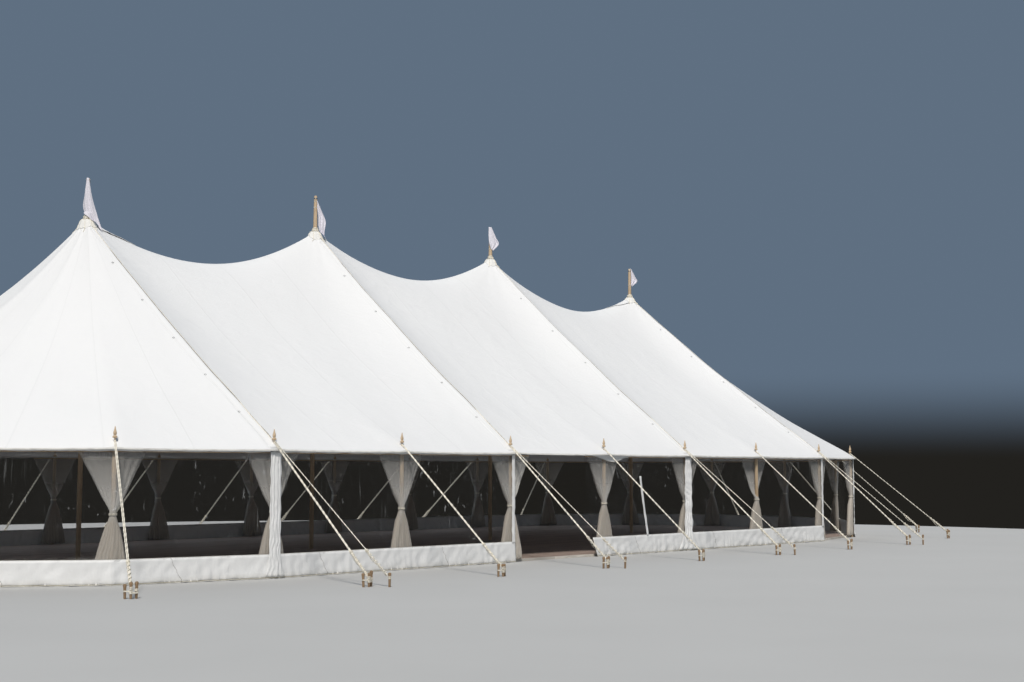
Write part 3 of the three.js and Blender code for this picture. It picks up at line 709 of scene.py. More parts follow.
def webbing_material(name, colour):
    """Flat woven webbing with a ribbed face and a stitched line near each edge."""
    graph = new_material(name, 0.8, 0.25)
    ribs, rows = (graph.wave(graph.axis(graph.cloth_place(), axis), pitch)
                  for axis, pitch in (("X", 0.006), ("Y", 0.004)))
    wear = graph.span(graph.noise(graph.object_place(), 6.0, 4.0), 0.4, 0.75)
    shade = graph.blend(wear, colour, tint(colour, 0.72))
    graph.give("Base Color", graph.blend(graph.times(ribs, 0.25), shade, tint(colour, 0.6)))
    graph.bump((ribs, 0.0006), (rows, 0.0003), (graph.noise(graph.object_place(), 20.0, 2.0), 0.003))
    return graph.owner


def timber_material(name, colour, dark, gloss):
    """Round timber: grain along the pole, growth rings, a few dark streaks and handling marks."""
    graph = new_material(name, gloss, 0.4)
    grain = graph.noise(graph.object_place(38, 38, 1.6), 1.0, 4.0, 0.6, 1.4)
    rings = graph.wave(graph.noise(graph.object_place(9, 9, 0.5), 1.0, 2.0), 0.08)
    streaks = graph.noise(graph.object_place(70, 70, 3.0), 1.0, 2.0)
    marks = graph.noise(graph.object_place(), 4.0, 5.0, 0.65)
    shade = graph.blend(graph.span(grain, 0.35, 0.7), colour, tint(colour, 0.62))
    shade = graph.blend(graph.times(rings, 0.3), shade, tint(colour, 1.25))
    shade = graph.blend(graph.span(streaks, 0.62, 0.8, 0.0, 0.7), shade, dark)
    graph.give("Base Color", graph.blend(graph.span(marks, 0.55, 0.8, 0.0, 0.45), shade, dark))
    graph.give("Roughness", graph.span(grain, 0.3, 0.7, gloss - 0.1, gloss + 0.12))
    graph.bump((grain, 0.0016), (streaks, 0.0008))
    return graph.owner


def board_material(name, colour):
    """Sawn floor boards: each board has its own tone, with grain along it and scuffs across."""
    graph = new_material(name, 0.75, 0.25)
    place = graph.object_place()
    pitch = bpy.context.scene.marquee_sizes.board_width + BOARD_GAP
    row = graph.math("FLOOR", graph.math("DIVIDE", graph.axis(place, "Y"), pitch))
    shift = graph.times(graph.math("FLOORED_MODULO", row, 3.0), BOARD_LENGTH / 3)
    along = graph.math("ADD", graph.axis(place, "X"), shift)
    column = graph.math("FLOOR", graph.math("DIVIDE", along, BOARD_LENGTH))
    cell = graph.node("CombineXYZ", {"X": row, "Y": column}).outputs[0]
    tone = graph.node("TexWhiteNoise", {"Vector": cell}, noise_dimensions="3D").outputs["Value"]
    grain = graph.noise(graph.object_place(2.2, 60, 10), 1.0, 4.0, 0.6, 0.8)
    scuffs = graph.noise(place, 3.0, 5.0, 0.7)
    shade = graph.blend(tone, tint(colour, 0.78), tint(colour, 1.25))
    shade = graph.blend(graph.span(grain, 0.35, 0.7, 0.0, 0.7), shade, tint(colour, 0.6))
    graph.give("Base Color", graph.blend(graph.span(scuffs, 0.5, 0.8, 0.0, 0.4), shade, SCUFF_COLOUR))
    graph.give("Roughness", graph.span(scuffs, 0.3, 0.7, 0.62, 0.85))
    graph.bump((grain, 0.0015))
    return graph.owner


def metal_material(name, colour):
    """Galvanised iron of the small rings, dulled by weather."""
    graph = new_material(name, 0.45, 0.5)
    clouds = graph.noise(graph.object_place(), 60.0, 4.0)
    graph.give("Base Color", graph.blend(graph.span(clouds, 0.4, 0.7), colour, RUST_COLOUR))
    graph.give("Metallic", 0.85)
    graph.bump((clouds, 0.0004))
    return graph.owner


def stage_material(name, colour):
    """The plain pale floor under the marquee."""
    graph = new_material(name, 0.9, 0.1)
    lighter = tuple(channel + 0.04 for channel in colour)
    graph.give("Base Color", graph.blend(graph.noise(graph.object_place(), 0.4, 3.0), colour, lighter))
    return graph.owner


# Each finish has its maker and a colour, which is a constant or the name of a colour setting
# Slots of the finishes that aren't named for their own slot
SLOTS = {"collar_canvas": "canvas", "dark_cord": "rope", "webbing": "wall_fabric", "galvanised_iron": None,
         "stake_timber": "pale_timber", "edge_board": "floor_boards"}
FINISHES = {
    "canvas": (canvas_material, "canvas"),
    "collar_canvas": (canvas_material, COLLAR_CANVAS),
    "wall_fabric": (fabric_material, "fabric"),
    "clear_film": (film_material, FILM_SCUFF_AND_HIGHLIGHT_COLOUR),
    "voile": (voile_material, "voile"),
    "flag_cloth": (flag_material, "flag"),
    "rope": (rope_material, "rope"),
    "dark_cord": (rope_material, DARK_CORD_AND_SHADOW_LINE),
    "webbing": (webbing_material, "webbing"),
    "pale_timber": (timber_material, "timber", (0.24, 0.14, 0.06), 0.45),
    "stake_timber": (timber_material, "stake", (0.12, 0.07, 0.03), 0.7),
    "floor_boards": (board_material, "board"),
    "edge_board": (board_material, EDGE_COLOUR),
    "galvanised_iron": (metal_material, IRON_COLOUR),
    "stage_floor": (stage_material, STAGE_COLOUR),
}


def material(name):
    """The named material, made the first time that it is asked for."""
    made = bpy.data.materials.get(MATERIAL_PREFIX + name)
    if made:
        return made
    maker, colour, *rest = FINISHES[name]
    if isinstance(colour, str):
        colour = tuple(getattr(bpy.context.scene.marquee_colours, colour))
    return maker(name, colour, *rest)


# The stage

CAMERA_PLACE = (-24.78, -26.55, 1.84)
CAMERA_YAW = 47.22
CAMERA_PITCH = 5.24
CAMERA_LENS = 50.28
CAMERA_SENSOR = 36
SUN_TOWARDS = (0.5, 0.47, -0.78)
SUN_COLOUR = (1.0, 0.955, 0.9)
SUN_STRENGTH = 3.0
SUN_SOFTNESS = 9
BACKDROP_LOW = (0.016, 0.015, 0.013)
BACKDROP_HIGH = (0.115, 0.16, 0.22)
BACKDROP_LOW_SINE = 0.008
BACKDROP_HIGH_SINE = 0.07
FILL_TOWARDS = (-0.5, -0.62, -0.6)
FILL_COLOUR = (1.0, 1.0, 1.0)
FILL_STRENGTH = 0.4
FILL_SOFTNESS = 50
STAGE_RADIUS = 25.5
STAGE_MIDDLE = (-4.4, -4.1)
STAGE_SIDES = 128
STAGE_HEIGHT = -0.001
VIEW_DEPTH = 400


def studio_world():
    """A plain backdrop: dark below the skyline, and soft blue grey above it."""
    world = bpy.data.worlds.new("studio")
    graph = Graph(world, "Background")
    height = graph.axis(graph.node("TexCoord", {}).outputs["Generated"], "Z")
    rise = graph.node("MapRange", {"Value": height, "From Min": BACKDROP_LOW_SINE,
                                   "From Max": BACKDROP_HIGH_SINE}, interpolation_type="SMOOTHSTEP")
    graph.give("Color", graph.blend(rise.outputs["Result"], BACKDROP_LOW, BACKDROP_HIGH))
    return world


class MARQUEE_OT_stage(Operator):
    """Adds the plain floor, the soft light and the camera"""

    bl_idname = "marquee.stage"
    bl_label = "Stage"

    def execute(self, context):
        deselect_all()
        bpy.ops.mesh.primitive_circle_add(vertices=STAGE_SIDES, radius=STAGE_RADIUS, fill_type="NGON",
                                          location=(*STAGE_MIDDLE, STAGE_HEIGHT))
        floor = context.active_object
        floor.name = "stage_floor"
        floor.data.materials.append(material("stage_floor"))

        for name, towards, colour, strength, softness in (
                ("sun", SUN_TOWARDS, SUN_COLOUR, SUN_STRENGTH, SUN_SOFTNESS),
                ("fill", FILL_TOWARDS, FILL_COLOUR, FILL_STRENGTH, FILL_SOFTNESS)):
            light = bpy.data.lights.new(name, "SUN")
            light.energy = strength
            light.color = colour
            light.angle = math.radians(softness)
            lamp = bpy.data.objects.new(name, light)
            lamp.rotation_mode = "QUATERNION"
            lamp.rotation_quaternion = Vector(towards).to_track_quat("-Z", "Y")
            context.scene.collection.objects.link(lamp)

        context.scene.world = studio_world()
        context.scene.view_settings.view_transform = "Standard"

        lens = bpy.data.cameras.new("camera")
        lens.lens = CAMERA_LENS
        lens.sensor_width = CAMERA_SENSOR
        lens.clip_end = VIEW_DEPTH
        camera = bpy.data.objects.new("camera", lens)
        camera.location = CAMERA_PLACE
        camera.rotation_euler = (math.radians(90 + CAMERA_PITCH), 0, math.radians(-CAMERA_YAW))
        context.scene.collection.objects.link(camera)
        context.scene.camera = camera
        return {"FINISHED"}


# Canvas roof

SLOPE_ROWS = 76
SLOPE_CROWDING = 1.3
BAY_COLUMNS = 52
END_COLUMNS_PER_BAY = 14
COLUMN_CROWDING = 0.72
SEAM_GAP = 0.0002
CROWN_START = 0.03
CROWN_PLEATS = 15
PLEAT_REACH = 0.85
BILLOW_DEPTH = 0.014
SMALL_BILLOW = 0.004
POLE_RIDGE_DEPTH = 0.016
POLE_RIDGE_WIDTH = 0.28
VALANCE_WAVE = 0.007
VALANCE_FLARE = 0.02


def hump(share):
    """A hump of height 1 between two poles, for the eave's dip and scallop."""
    return 4 * share * (1 - share)


def fall(run, straight):
    """How far the canvas has fallen from crown to eave, for the share of the way out that it has run."""
    return straight * run + (1 - straight) * (1 - (1 - run) ** 3)


def smooth_step(value, low, high):
    share = np.clip((value - low) / (high - low), 0, 1)
    return share * share * (3 - 2 * share)


def fading(value, low, high):
    return 1 - smooth_step(value, low, high)


def straightness(x, y):
    """Share of the fall that is even: most of it along the taut king lines, less where the canvas sags."""
    from_line = np.min([np.abs(x - king) for king in KINGS_X], axis=0)
    beyond = np.maximum(np.abs(x) - HALF_STRAIGHT, 0)
    turned = smooth_step(np.arctan2(beyond, np.abs(y) + 1e-9), 0.2, 0.9)
    near = np.exp(-from_line / KING_LINE_REACH) * (1 - turned)
    return STRAIGHT_SHARE + (KING_STRAIGHT - STRAIGHT_SHARE) * near


def roof_measures(x, y):
    """For places in plan: reach from the highest line, reach of the pole line, ridge height, the ridge's
    rounding and the share of the way between two side poles."""
    beyond = np.abs(x) - HALF_STRAIGHT
    at_end = beyond > 0
    angle = np.arctan2(np.maximum(beyond, 0), -y)
    end_share = (angle / END_STEP) % 1
    end_edge = HALF_WIDTH * math.cos(END_STEP / 2) / np.cos((end_share - 0.5) * END_STEP)
    place = np.clip((x + HALF_STRAIGHT) / KING_SPACING, 0, KING_COUNT - 1 - 1e-9)
    bay = np.floor(place).astype(int)
    share = place - bay
    crowns = np.array(CROWN_HEIGHTS)
    ridge = crowns[bay] + (crowns[bay + 1] - crowns[bay]) * share - RIDGE_SAG * hump(share)
    return {
        "reach": np.where(at_end, np.hypot(beyond, y), np.abs(y)),
        "edge": np.where(at_end, end_edge, HALF_WIDTH),
        "ridge": np.where(at_end, CROWN_HEIGHTS[0], ridge),
        "rounding": np.where(at_end, 0.0, RIDGE_ROUNDING * np.sin(math.pi * share) ** 2),
        "share": np.where(at_end, end_share, (2 * share) % 1),
    }


def crown_pleats(x, y, depth):
    """Pleats that spread from each crown where the canvas is gathered round its king pole."""
    total = 0
    for index, king in enumerate(KINGS_X):
        distance = np.hypot(x - king, y)
        angle = np.arctan2(y, x - king)
        turn = CROWN_PLEATS * angle + 0.8 * np.sin(3 * angle + index) + index
        swell = np.exp(-distance / PLEAT_REACH) * (1 - np.exp(-distance / 0.15))
        uneven = 0.65 + 0.35 * np.sin(4 * angle + 2.1 * index + 1.0)
        total = total + depth * uneven * np.cos(turn) * swell
    return total


# Groups of slanting pulls beside a king line: king, front or back face, side of the line, first and last
# distance from the ridge, length, spacing, slant and depth
PULLS = [
    (0, -1, 1, 0.75, 2.75, 0.9, 0.25, 0.34, 0.022),
    (0, -1, -1, 0.3, 1.3, 0.5, 0.22, 0.5, 0.009),
    (1, -1, 1, 0.9, 2.6, 0.9, 0.42, 0.6, 0.01),
    (2, -1, -1, 0.3, 1.2, 0.55, 0.24, 0.45, 0.009),
    (3, -1, -1, 0.2, 1.1, 0.6, 0.3, 0.35, 0.01),
    (1, 1, -1, 0.7, 2.3, 0.7, 0.3, 0.4, 0.009),
    (3, 1, 1, 0.6, 2.0, 0.6, 0.28, 0.4, 0.009),
]


def slanting_pulls(x, y):
    total = 0
    for king, face, side, near, far, length, spacing, slant, depth in PULLS:
        away = (x - KINGS_X[king]) * side
        down = y * face
        window = smooth_step(away, 0.0, 0.12) * np.exp(-np.maximum(away, 0) / length)
        window = window * smooth_step(down, near - 0.2, near + 0.2) * fading(down, far - 0.3, far + 0.3)
        total = total + depth * np.cos(TURN * (down + slant * away) / spacing) * window
    return total


def pole_ridges(x, y, reach, edge):
    """Soft ridges that run up the canvas from each side pole, where the eave is held up."""
    total = 0
    for pole in POLES:
        px, py = pole["place"]
        ox, oy = pole["out"]
        sideways = (x - px) * oy - (y - py) * ox
        inside = (x - px) * ox + (y - py) * oy
        near = np.exp(-(sideways / POLE_RIDGE_WIDTH) ** 2) * (inside < 0.2)
        total = total + near
    return POLE_RIDGE_DEPTH * total * np.clip(reach / edge, 0, 1) ** 4


def roof_height(x, y):
    """Height of the canvas's outer face at places in plan, up to the line of the side poles."""
    at = roof_measures(x, y)
    run = at["reach"] / at["edge"]

    def spread(value):
        return np.sqrt(value ** 2 + at["rounding"] ** 2) - at["rounding"]

    height = at["ridge"] - (at["ridge"] - EAVE_HEIGHT) * fall(spread(run) / spread(1.0), straightness(x, y))
    height = height - EAVE_DIP * hump(at["share"]) * run ** 6
    billow = BILLOW_DEPTH * ripples(11, 7, x / 2.6, y / 2.2) * smooth_step(run, 0.05, 0.35)
    billow = billow * fading(run, 0.8, 1.0)
    small = SMALL_BILLOW * ripples(12, 6, x / 0.7, y / 1.1) * smooth_step(run, 0.1, 0.3)
    small = small * fading(run, 0.9, 1)
    depth = bpy.context.scene.marquee_sizes.canvas_folds
    folds = crown_pleats(x, y, depth) + slanting_pulls(x, y) + pole_ridges(x, y, at["reach"], at["edge"])
    return height + billow + small + folds * fading(run, 0.97, 1.0)


def slope_grid(place, start, edge, share, along):
    """One slope's rows from its highest line to the hem of the valance. place(reach) gives x and y for
    each column, and along is how far each column lies along the eave."""
    runs = np.linspace(0, 1, SLOPE_ROWS)[:, None] ** SLOPE_CROWDING
    reach = start + (edge - start) * runs
    x, y = place(reach)
    rows = [np.stack([x, y, roof_height(x, y)], -1)]
    overhang = OVERHANG - EAVE_SCALLOP * hump(share)
    eave = EAVE_HEIGHT - EAVE_DIP * hump(share)
    for step in (0.4, 0.8):
        x, y = place(edge + overhang * step)
        rows.append(np.stack([x, y, eave - OVERHANG_SLOPE * overhang * step], -1)[None])
    crumple = 0.7 * ripples(21, 6, along / 0.42) + 0.5 * ripples(22, 5, along / 0.16)
    hem = 0.006 * ripples(23, 5, along / 0.5)
    top = eave - OVERHANG_SLOPE * overhang
    for step in range(VALANCE_STEPS + 1):
        drop = step / VALANCE_STEPS
        x, y = place(edge + overhang - CANVAS_CLOTH + (VALANCE_FLARE + VALANCE_WAVE * crumple) * drop)
        rows.append(np.stack([x, y, top - (VALANCE_DEPTH + hem) * drop], -1)[None])
    return np.concatenate(rows)


def roof_uv(grid, along, downwards):
    """The cloth's own coordinates: along the eave, and down from the highest line."""
    return np.stack([np.broadcast_to(along, grid.shape[:2]), downwards], -1)


def roof_bay(bay):
    """The canvas between two king poles: both slopes in one sheet, from hem to hem."""
    even = np.linspace(0, 1, BAY_COLUMNS + 1)
    share = even - COLUMN_CROWDING * np.sin(TURN * even) / TURN
    x = KINGS_X[bay] + np.clip(share * KING_SPACING, SEAM_GAP, KING_SPACING - SEAM_GAP)
    pole_share = (2 * share) % 1
    pole_share[-1] = 0
    slopes = []
    for side in (-1, 1):
        def place(reach, side=side):
            return np.broadcast_to(x, np.broadcast_shapes(x.shape, np.shape(reach))), side * (reach + 0 * x)

        slopes.append(slope_grid(place, 0.0, HALF_WIDTH, pole_share, x + side * 40))
    grid = np.concatenate([slopes[0][::-1], slopes[1][1:]])
    down = run_lengths(grid, 0)
    return cloth_part(grid, CANVAS_CLOTH, uv=roof_uv(grid, x, down - down[-1:] / 2))


def roof_end(side):
    """The canvas of one rounded end, from the front king line round to the back one."""
    angle = np.linspace(0, math.pi, SEGMENTS_PER_END * END_COLUMNS_PER_BAY + 1)
    share = (angle / END_STEP) % 1
    share[-1] = 0
    share[::END_COLUMNS_PER_BAY] = 0
    edge = HALF_WIDTH * math.cos(END_STEP / 2) / np.cos((share - 0.5) * END_STEP)

    def place(reach):
        x = side * (HALF_STRAIGHT + SEAM_GAP + reach * np.sin(angle))
        return x, -reach * np.cos(angle)

    grid = slope_grid(place, CROWN_START, edge, share, angle * HALF_WIDTH + side * 60)
    down = run_lengths(grid, 0)
    if side > 0:
        grid, down = grid[::-1], down[::-1]
    uv = roof_uv(grid, angle * HALF_WIDTH, down)
    return cloth_part(grid, CANVAS_CLOTH, uv=uv)


class MARQUEE_OT_roof(Operator):
    """Builds the five sections of the canvas roof with their valances"""

    bl_idname = "marquee.roof"
    bl_label = "Canvas Roof"

    def execute(self, context):
        for bay in range(KING_COUNT - 1):
            name = f"roof_bay_{bay + 1}"
            canvas = built(f"{name}_canvas", roof_bay(bay), "canvas", [name])
        for side, word in ((-1, "left"), (1, "right")):
            name = f"roof_end_{word}"
            canvas = built(f"{name}_canvas", roof_end(side), "canvas", [name])
        return {"FINISHED"}


# Laps and lacing along the king lines, and the caps round the crowns

LAP_PROFILE = [(-0.13, 0.003), (-0.115, 0.005), (-0.08, 0.006), (-0.04, 0.007), (-0.01, 0.008),
               (0.005, 0.008), (0.014, 0.006), (0.018, 0.002)]
LAP_CLOTH = 0.003
LAP_START = 0.27
LAP_ROWS = 90
EYELET_RADIUS = 0.019
EYELET_PLACES = [1.25, 2.35, 3.45, 4.5, 5.55]
EYELET_ASIDE = 0.135
LACING_DIAMETER = 0.012
LACING_ASIDE = 0.024
CAP_COLUMNS = 72
CAP_RADII = [0.215, 0.2, 0.185, 0.168, 0.15, 0.133, 0.116, 0.1, 0.084, 0.068, 0.056]
CAP_RISE = -0.005
CAP_CURVE = 2.4
CAP_ROPES = 6
CAP_ROPE_DIAMETER = 0.016
CAP_ROPE_REACH = (0.075, 0.29)
RIDGE_FLAPS = [(0, 1), (3, -1)]


def lap_strip(king, side):
    """A lap of canvas over one laced seam, flat on the canvas beside the storm rope."""
    down = np.linspace(LAP_START, HALF_WIDTH + OVERHANG * 0.7, LAP_ROWS)
    across, lift = np.array(LAP_PROFILE).T
    wide = 0.62 + 0.38 * smooth_step(down, 0.5, 3.5) + 0.08 * ripples(31 + king, 5, down / 0.9)
    x = KINGS_X[king] + across[None, :] * wide[:, None]
    y = np.broadcast_to(side * down[:, None], x.shape)
    inside = np.minimum(np.abs(y), HALF_WIDTH)
    height = roof_height(x, side * inside) - (np.abs(y) - inside) * OVERHANG_SLOPE
    raised = lift[None, :] * (0.85 + 0.25 * ripples(37 + king, 6, down / 0.5))[:, None]
    grid = np.stack([x, y, height + raised + 0.002], -1)
    if side < 0:
        grid = grid[::-1]
    return cloth_part(grid, LAP_CLOTH)


def on_canvas(x, y, lift=0.0):
    """Points that lie so far above the canvas, at places in plan."""
    return np.stack([x, y, roof_height(x, y) + lift], -1)


def eyelets_object(name, king, side):
    """Iron eyelets along a lap, each turned to lie flat on the slope."""
    deselect_all()
    bpy.ops.mesh.primitive_torus_add(major_radius=EYELET_RADIUS, minor_radius=0.0045, major_segments=16,
                                     minor_segments=6)
    master = bpy.context.active_object
    with whole_mesh():
        bpy.ops.transform.resize(value=(1, 1, 0.8), center_override=(0, 0, 0))
    rings = []
    for number, down in enumerate(EYELET_PLACES):
        x, y = KINGS_X[king] - EYELET_ASIDE, side * down
        places = on_canvas(np.array([x, x + 0.02, x]), np.array([y, y, y + 0.02]), 0.006)
        first, across, along = (Vector(place) for place in places)
        normal = (across - first).cross(along - first)
        turn = normal.to_track_quat("Z", "Y").to_matrix().to_4x4()
        rings.append(copy_of(master, f"{name}_{number}", Matrix.Translation(first) @ turn))
    remove(master)
    return join_objects(name, rings)


def lacing(king, side):
    """A dark cord laced along the seam beside the storm rope. Its dark colour also serves as a painted shadow
    line beside the rope.
    """
    down = np.arange(0.3, HALF_WIDTH - 0.05, 0.05)
    x = KINGS_X[king] + LACING_ASIDE + 0.003 * np.sin(TURN * down / 0.3)
    return rope_part(on_canvas(x, side * down, 0.012), LACING_DIAMETER, step=0.05)


def cap_height(king, x, y):
    """Height of the padded cap that rounds off a crown, from the canvas up to the king pole."""
    radius = np.hypot(x - KINGS_X[king], y)
    dome = CROWN_HEIGHTS[king] + CAP_RISE - CAP_CURVE * radius ** 2
    share = smooth_step(CAP_RADII[0] - radius, 0.0, 0.1)
    return roof_height(x, y) * (1 - share) + dome * share + 0.008


def crown_cap(king):
    """The rounded cap of cream canvas round the foot of a king pole's head."""
    angle = np.linspace(0, TURN, CAP_COLUMNS, endpoint=False)
    rows = []
    for radius in CAP_RADII:
        reach = radius * (1 + 0.04 * np.sin(3 * angle + king) * (radius > 0.1))
        x, y = KINGS_X[king] + reach * np.cos(angle), reach * np.sin(angle)
        pucker = 0.006 * np.cos(11 * angle + 1.3 * np.sin(2 * angle + king)) * smooth_step(radius, 0.06, 0.16)
        rows.append(np.stack([x, y, cap_height(king, x, y) + pucker], -1))
    return np.array(rows)


def crown_ropes(king):
    """Ropes laid over the cap, from the lashing down to the canvas on each side."""
    parts = []
    for number in range(CAP_ROPES):
        angle = (number + 0.5) * TURN / CAP_ROPES + 0.12 * math.sin(5 * number + king)
        reach = np.linspace(*CAP_ROPE_REACH, 12)
        bow = angle + 0.22 * np.sin(math.pi * (reach - CAP_ROPE_REACH[0]) / 0.3)
        x, y = KINGS_X[king] + reach * np.cos(bow), reach * np.sin(bow)
        height = cap_height(king, x, y) + 0.004 + CAP_ROPE_DIAMETER / 2
        parts.append(rope_part(np.stack([x, y, height], -1), CAP_ROPE_DIAMETER, step=0.03))
    return parts


def ridge_flap(king, towards):
    """A loose flap of canvas over the ridge beside an end crown, standing off the front slope."""
    along = np.linspace(0.2, 1.15, 30)[None, :]
    width = 0.15 * (1 - 0.75 * smooth_step(along, 0.3, 1.15))
    down = np.linspace(-0.05, 1.0, 9)[:, None]
    x = KINGS_X[king] + towards * along + 0 * down
    y = -down * width
    lift = 0.007 + 0.03 * smooth_step(down, 0.1, 1.0) * (1 - 0.6 * smooth_step(along, 0.6, 1.1))
    grid = on_canvas(x, y, lift + 0.004 * ripples(45 + king, 5, along / 0.2, down))
    return cloth_part(grid if towards > 0 else grid[:, ::-1], LAP_CLOTH)


class MARQUEE_OT_laps(Operator):
    """Builds the laps, eyelets and lacing along the king lines, and the caps round the crowns"""

    bl_idname = "marquee.laps"
    bl_label = "Laps and Crowns"

    def execute(self, context):
        for king in range(KING_COUNT):
            for side, word in ((-1, "front"), (1, "back")):
                line = f"king_line_{king + 1}_{word}"
                lap = built(f"{line}_lap", lap_strip(king, side), "canvas")
                finished(eyelets_object(f"{line}_eyelets", king, side), "galvanised_iron")
                roped(f"{line}_lacing", lacing(king, side), "dark_cord")
            grid = crown_cap(king)
            cloth = cloth_part(grid, LAP_CLOTH, wrap=True)
            cap = built(f"crown_cap_{king + 1}", cloth, "collar_canvas")
            ropes = roped(f"crown_ropes_{king + 1}", crown_ropes(king))
        for king, towards in RIDGE_FLAPS:
            flap = built(f"ridge_flap_{king + 1}", ridge_flap(king, towards), "canvas")
        return {"FINISHED"}


# Poles

KING_SIDES = 28
SIDE_POLE_SIDES = 20
BAND_BELOW_TIP = 0.075


def king_profile(king):
    """A king pole from its foot to its rounded tip, with an iron-bound head."""
    crown = CROWN_HEIGHTS[king]
    taper_start = crown + 0.1
    tip = KING_TIPS[king]
    body = [(KING_RADIUS, crown * share) for share in (0.25, 0.5, 0.75)]
    head = [(KING_TIP_RADIUS + 0.002, tip - 0.12), (KING_TIP_RADIUS, tip - 0.03), (0.034, tip - 0.012),
            (0.022, tip - 0.002), (0.006, tip)]
    return [(KING_RADIUS - 0.002, 0.0), (KING_RADIUS, 0.004), *body, (KING_RADIUS, taper_start), *head]


SIDE_POLE_PROFILE = [
    (0.037, 0.0), (POLE_RADIUS, 0.004), (POLE_RADIUS, 0.75), (POLE_RADIUS, 1.5), (POLE_RADIUS, 2.26),
    (0.038, 2.271), (0.032, POLE_SHOULDER), (0.02, 2.289), (SPIKE_RADIUS, 2.296), (SPIKE_RADIUS, 2.35),
    (SPIKE_RADIUS, FINIAL_BASE), (0.03, 2.4), (0.039, 2.409), (POLE_RADIUS, 2.42), (0.038, 2.43),
    (0.028, 2.437), (0.021, 2.444), (0.02, 2.45), (0.025, 2.456), (0.029, 2.468), (0.03, 2.482),
    (0.027, 2.5), (0.021, 2.52), (0.0155, 2.542), (0.011, 2.562), (0.0085, 2.578), (0.006, 2.588),
    (0.002, FINIAL_TIP),
]


class MARQUEE_OT_king_poles(Operator):
    """Models the four king poles and the iron bands at their heads"""

    bl_idname = "marquee.king_poles"
    bl_label = "King Poles"

    def execute(self, context):
        for king in range(KING_COUNT):
            name = f"king_pole_{king + 1}"
            pole = turned_piece(f"{name}_timber", king_profile(king), KING_SIDES)
            pole.data.transform(Matrix.Translation((KINGS_X[king], 0, 0)))
            finished(pole, "pale_timber", [name])
            middle = (KINGS_X[king], 0, KING_TIPS[king] - BAND_BELOW_TIP)
            deselect_all()
            bpy.ops.mesh.primitive_torus_add(location=middle, major_radius=0.0415, minor_radius=0.004,
                                             major_segments=KING_SIDES, minor_segments=8)
            band = context.active_object
            band.name = f"{name}_head_band"
            with whole_mesh():
                bpy.ops.transform.resize(value=(1, 1, 3.2), center_override=middle)
            bpy.ops.object.transform_apply(location=True)
            finished(band, "galvanised_iron")
        return {"FINISHED"}


class MARQUEE_OT_side_poles(Operator):
    """Models one side pole with its turned finial, and copies it round the eave"""

    bl_idname = "marquee.side_poles"
    bl_label = "Side Poles"

    def execute(self, context):
        master = turned_piece("side_pole_master", SIDE_POLE_PROFILE, SIDE_POLE_SIDES)
        draw = np.random.default_rng(5)
        for pole in POLES:
            turn = Matrix.Rotation(draw.uniform(0, TURN), 4, "Z")
            matrix = Matrix.Translation((*pole["place"], 0)) @ turn
            timber = copy_of(master, f"{pole['name']}_timber", matrix)
            finished(timber, "pale_timber", [pole["name"]])
        remove(master)
        return {"FINISHED"}


# Pennants

# Each pennant is a few levels from its top down: its edge by the pole and its free edge, as distances
# outside the pole's axis and below its tip. ties are the heights below the tip of the loops that hold it.
PENNANT_CLOTH = 0.002
PENNANT_ROWS = 38
PENNANT_COLUMNS = 28
PENNANTS = [
    {"levels": [((-0.01, 0.0), (0.03, 0.01)), ((-0.05, 0.33), (0.1, 0.42)), ((-0.085, 0.62), (0.21, 0.8)),
                ((0.02, 0.84), (0.33, 1.13))], "ties": (0.03,)},
    {"levels": [((0.04, 0.13), (0.05, 0.14)), ((0.045, 0.3), (0.14, 0.36)), ((0.07, 0.5), (0.245, 0.62)),
                ((0.085, 0.82), (0.225, 0.86)), ((0.14, 1.06), (0.21, 1.08))], "ties": (0.14, 0.29)},
    {"levels": [((-0.05, 0.0), (0.03, 0.01)), ((-0.055, 0.22), (0.15, 0.29)), ((-0.04, 0.42), (0.225, 0.46)),
                ((0.01, 0.6), (0.07, 0.65))], "ties": (0.03, 0.6)},
    {"levels": [((0.035, 0.01), (0.05, 0.02)), ((0.035, 0.18), (0.17, 0.25)), ((0.035, 0.34), (0.235, 0.39)),
                ((0.035, 0.52), (0.07, 0.54))], "ties": (0.03, 0.5)},
]
PENNANT_DIRECTION = np.array([1.0, -1.0]) / math.sqrt(2)
CROWN_CLEARANCE = [(-0.3, 0.3), (-0.13, 0.24), (-0.06, 0.18), (-0.02, 0.13), (0.03, 0.11), (0.13, 0.085),
                   (0.15, 0.057)]


def through(rows, count):
    """Smooth curves through a few rows of points, as so many rows."""
    rows = np.asarray(rows, float)
    padded = np.concatenate([[2 * rows[0] - rows[1]], rows, [2 * rows[-1] - rows[-2]]])
    place = np.linspace(0, len(rows) - 1, count)
    first = np.minimum(place.astype(int), len(rows) - 2)
    share = (place - first).reshape(-1, *[1] * (rows.ndim - 1))
    a, b, c, d = (padded[first + step] for step in range(4))
    return b + share / 2 * (c - a + share * (2 * a - 5 * b + 4 * c - d + share * (3 * (b - c) + d - a)))


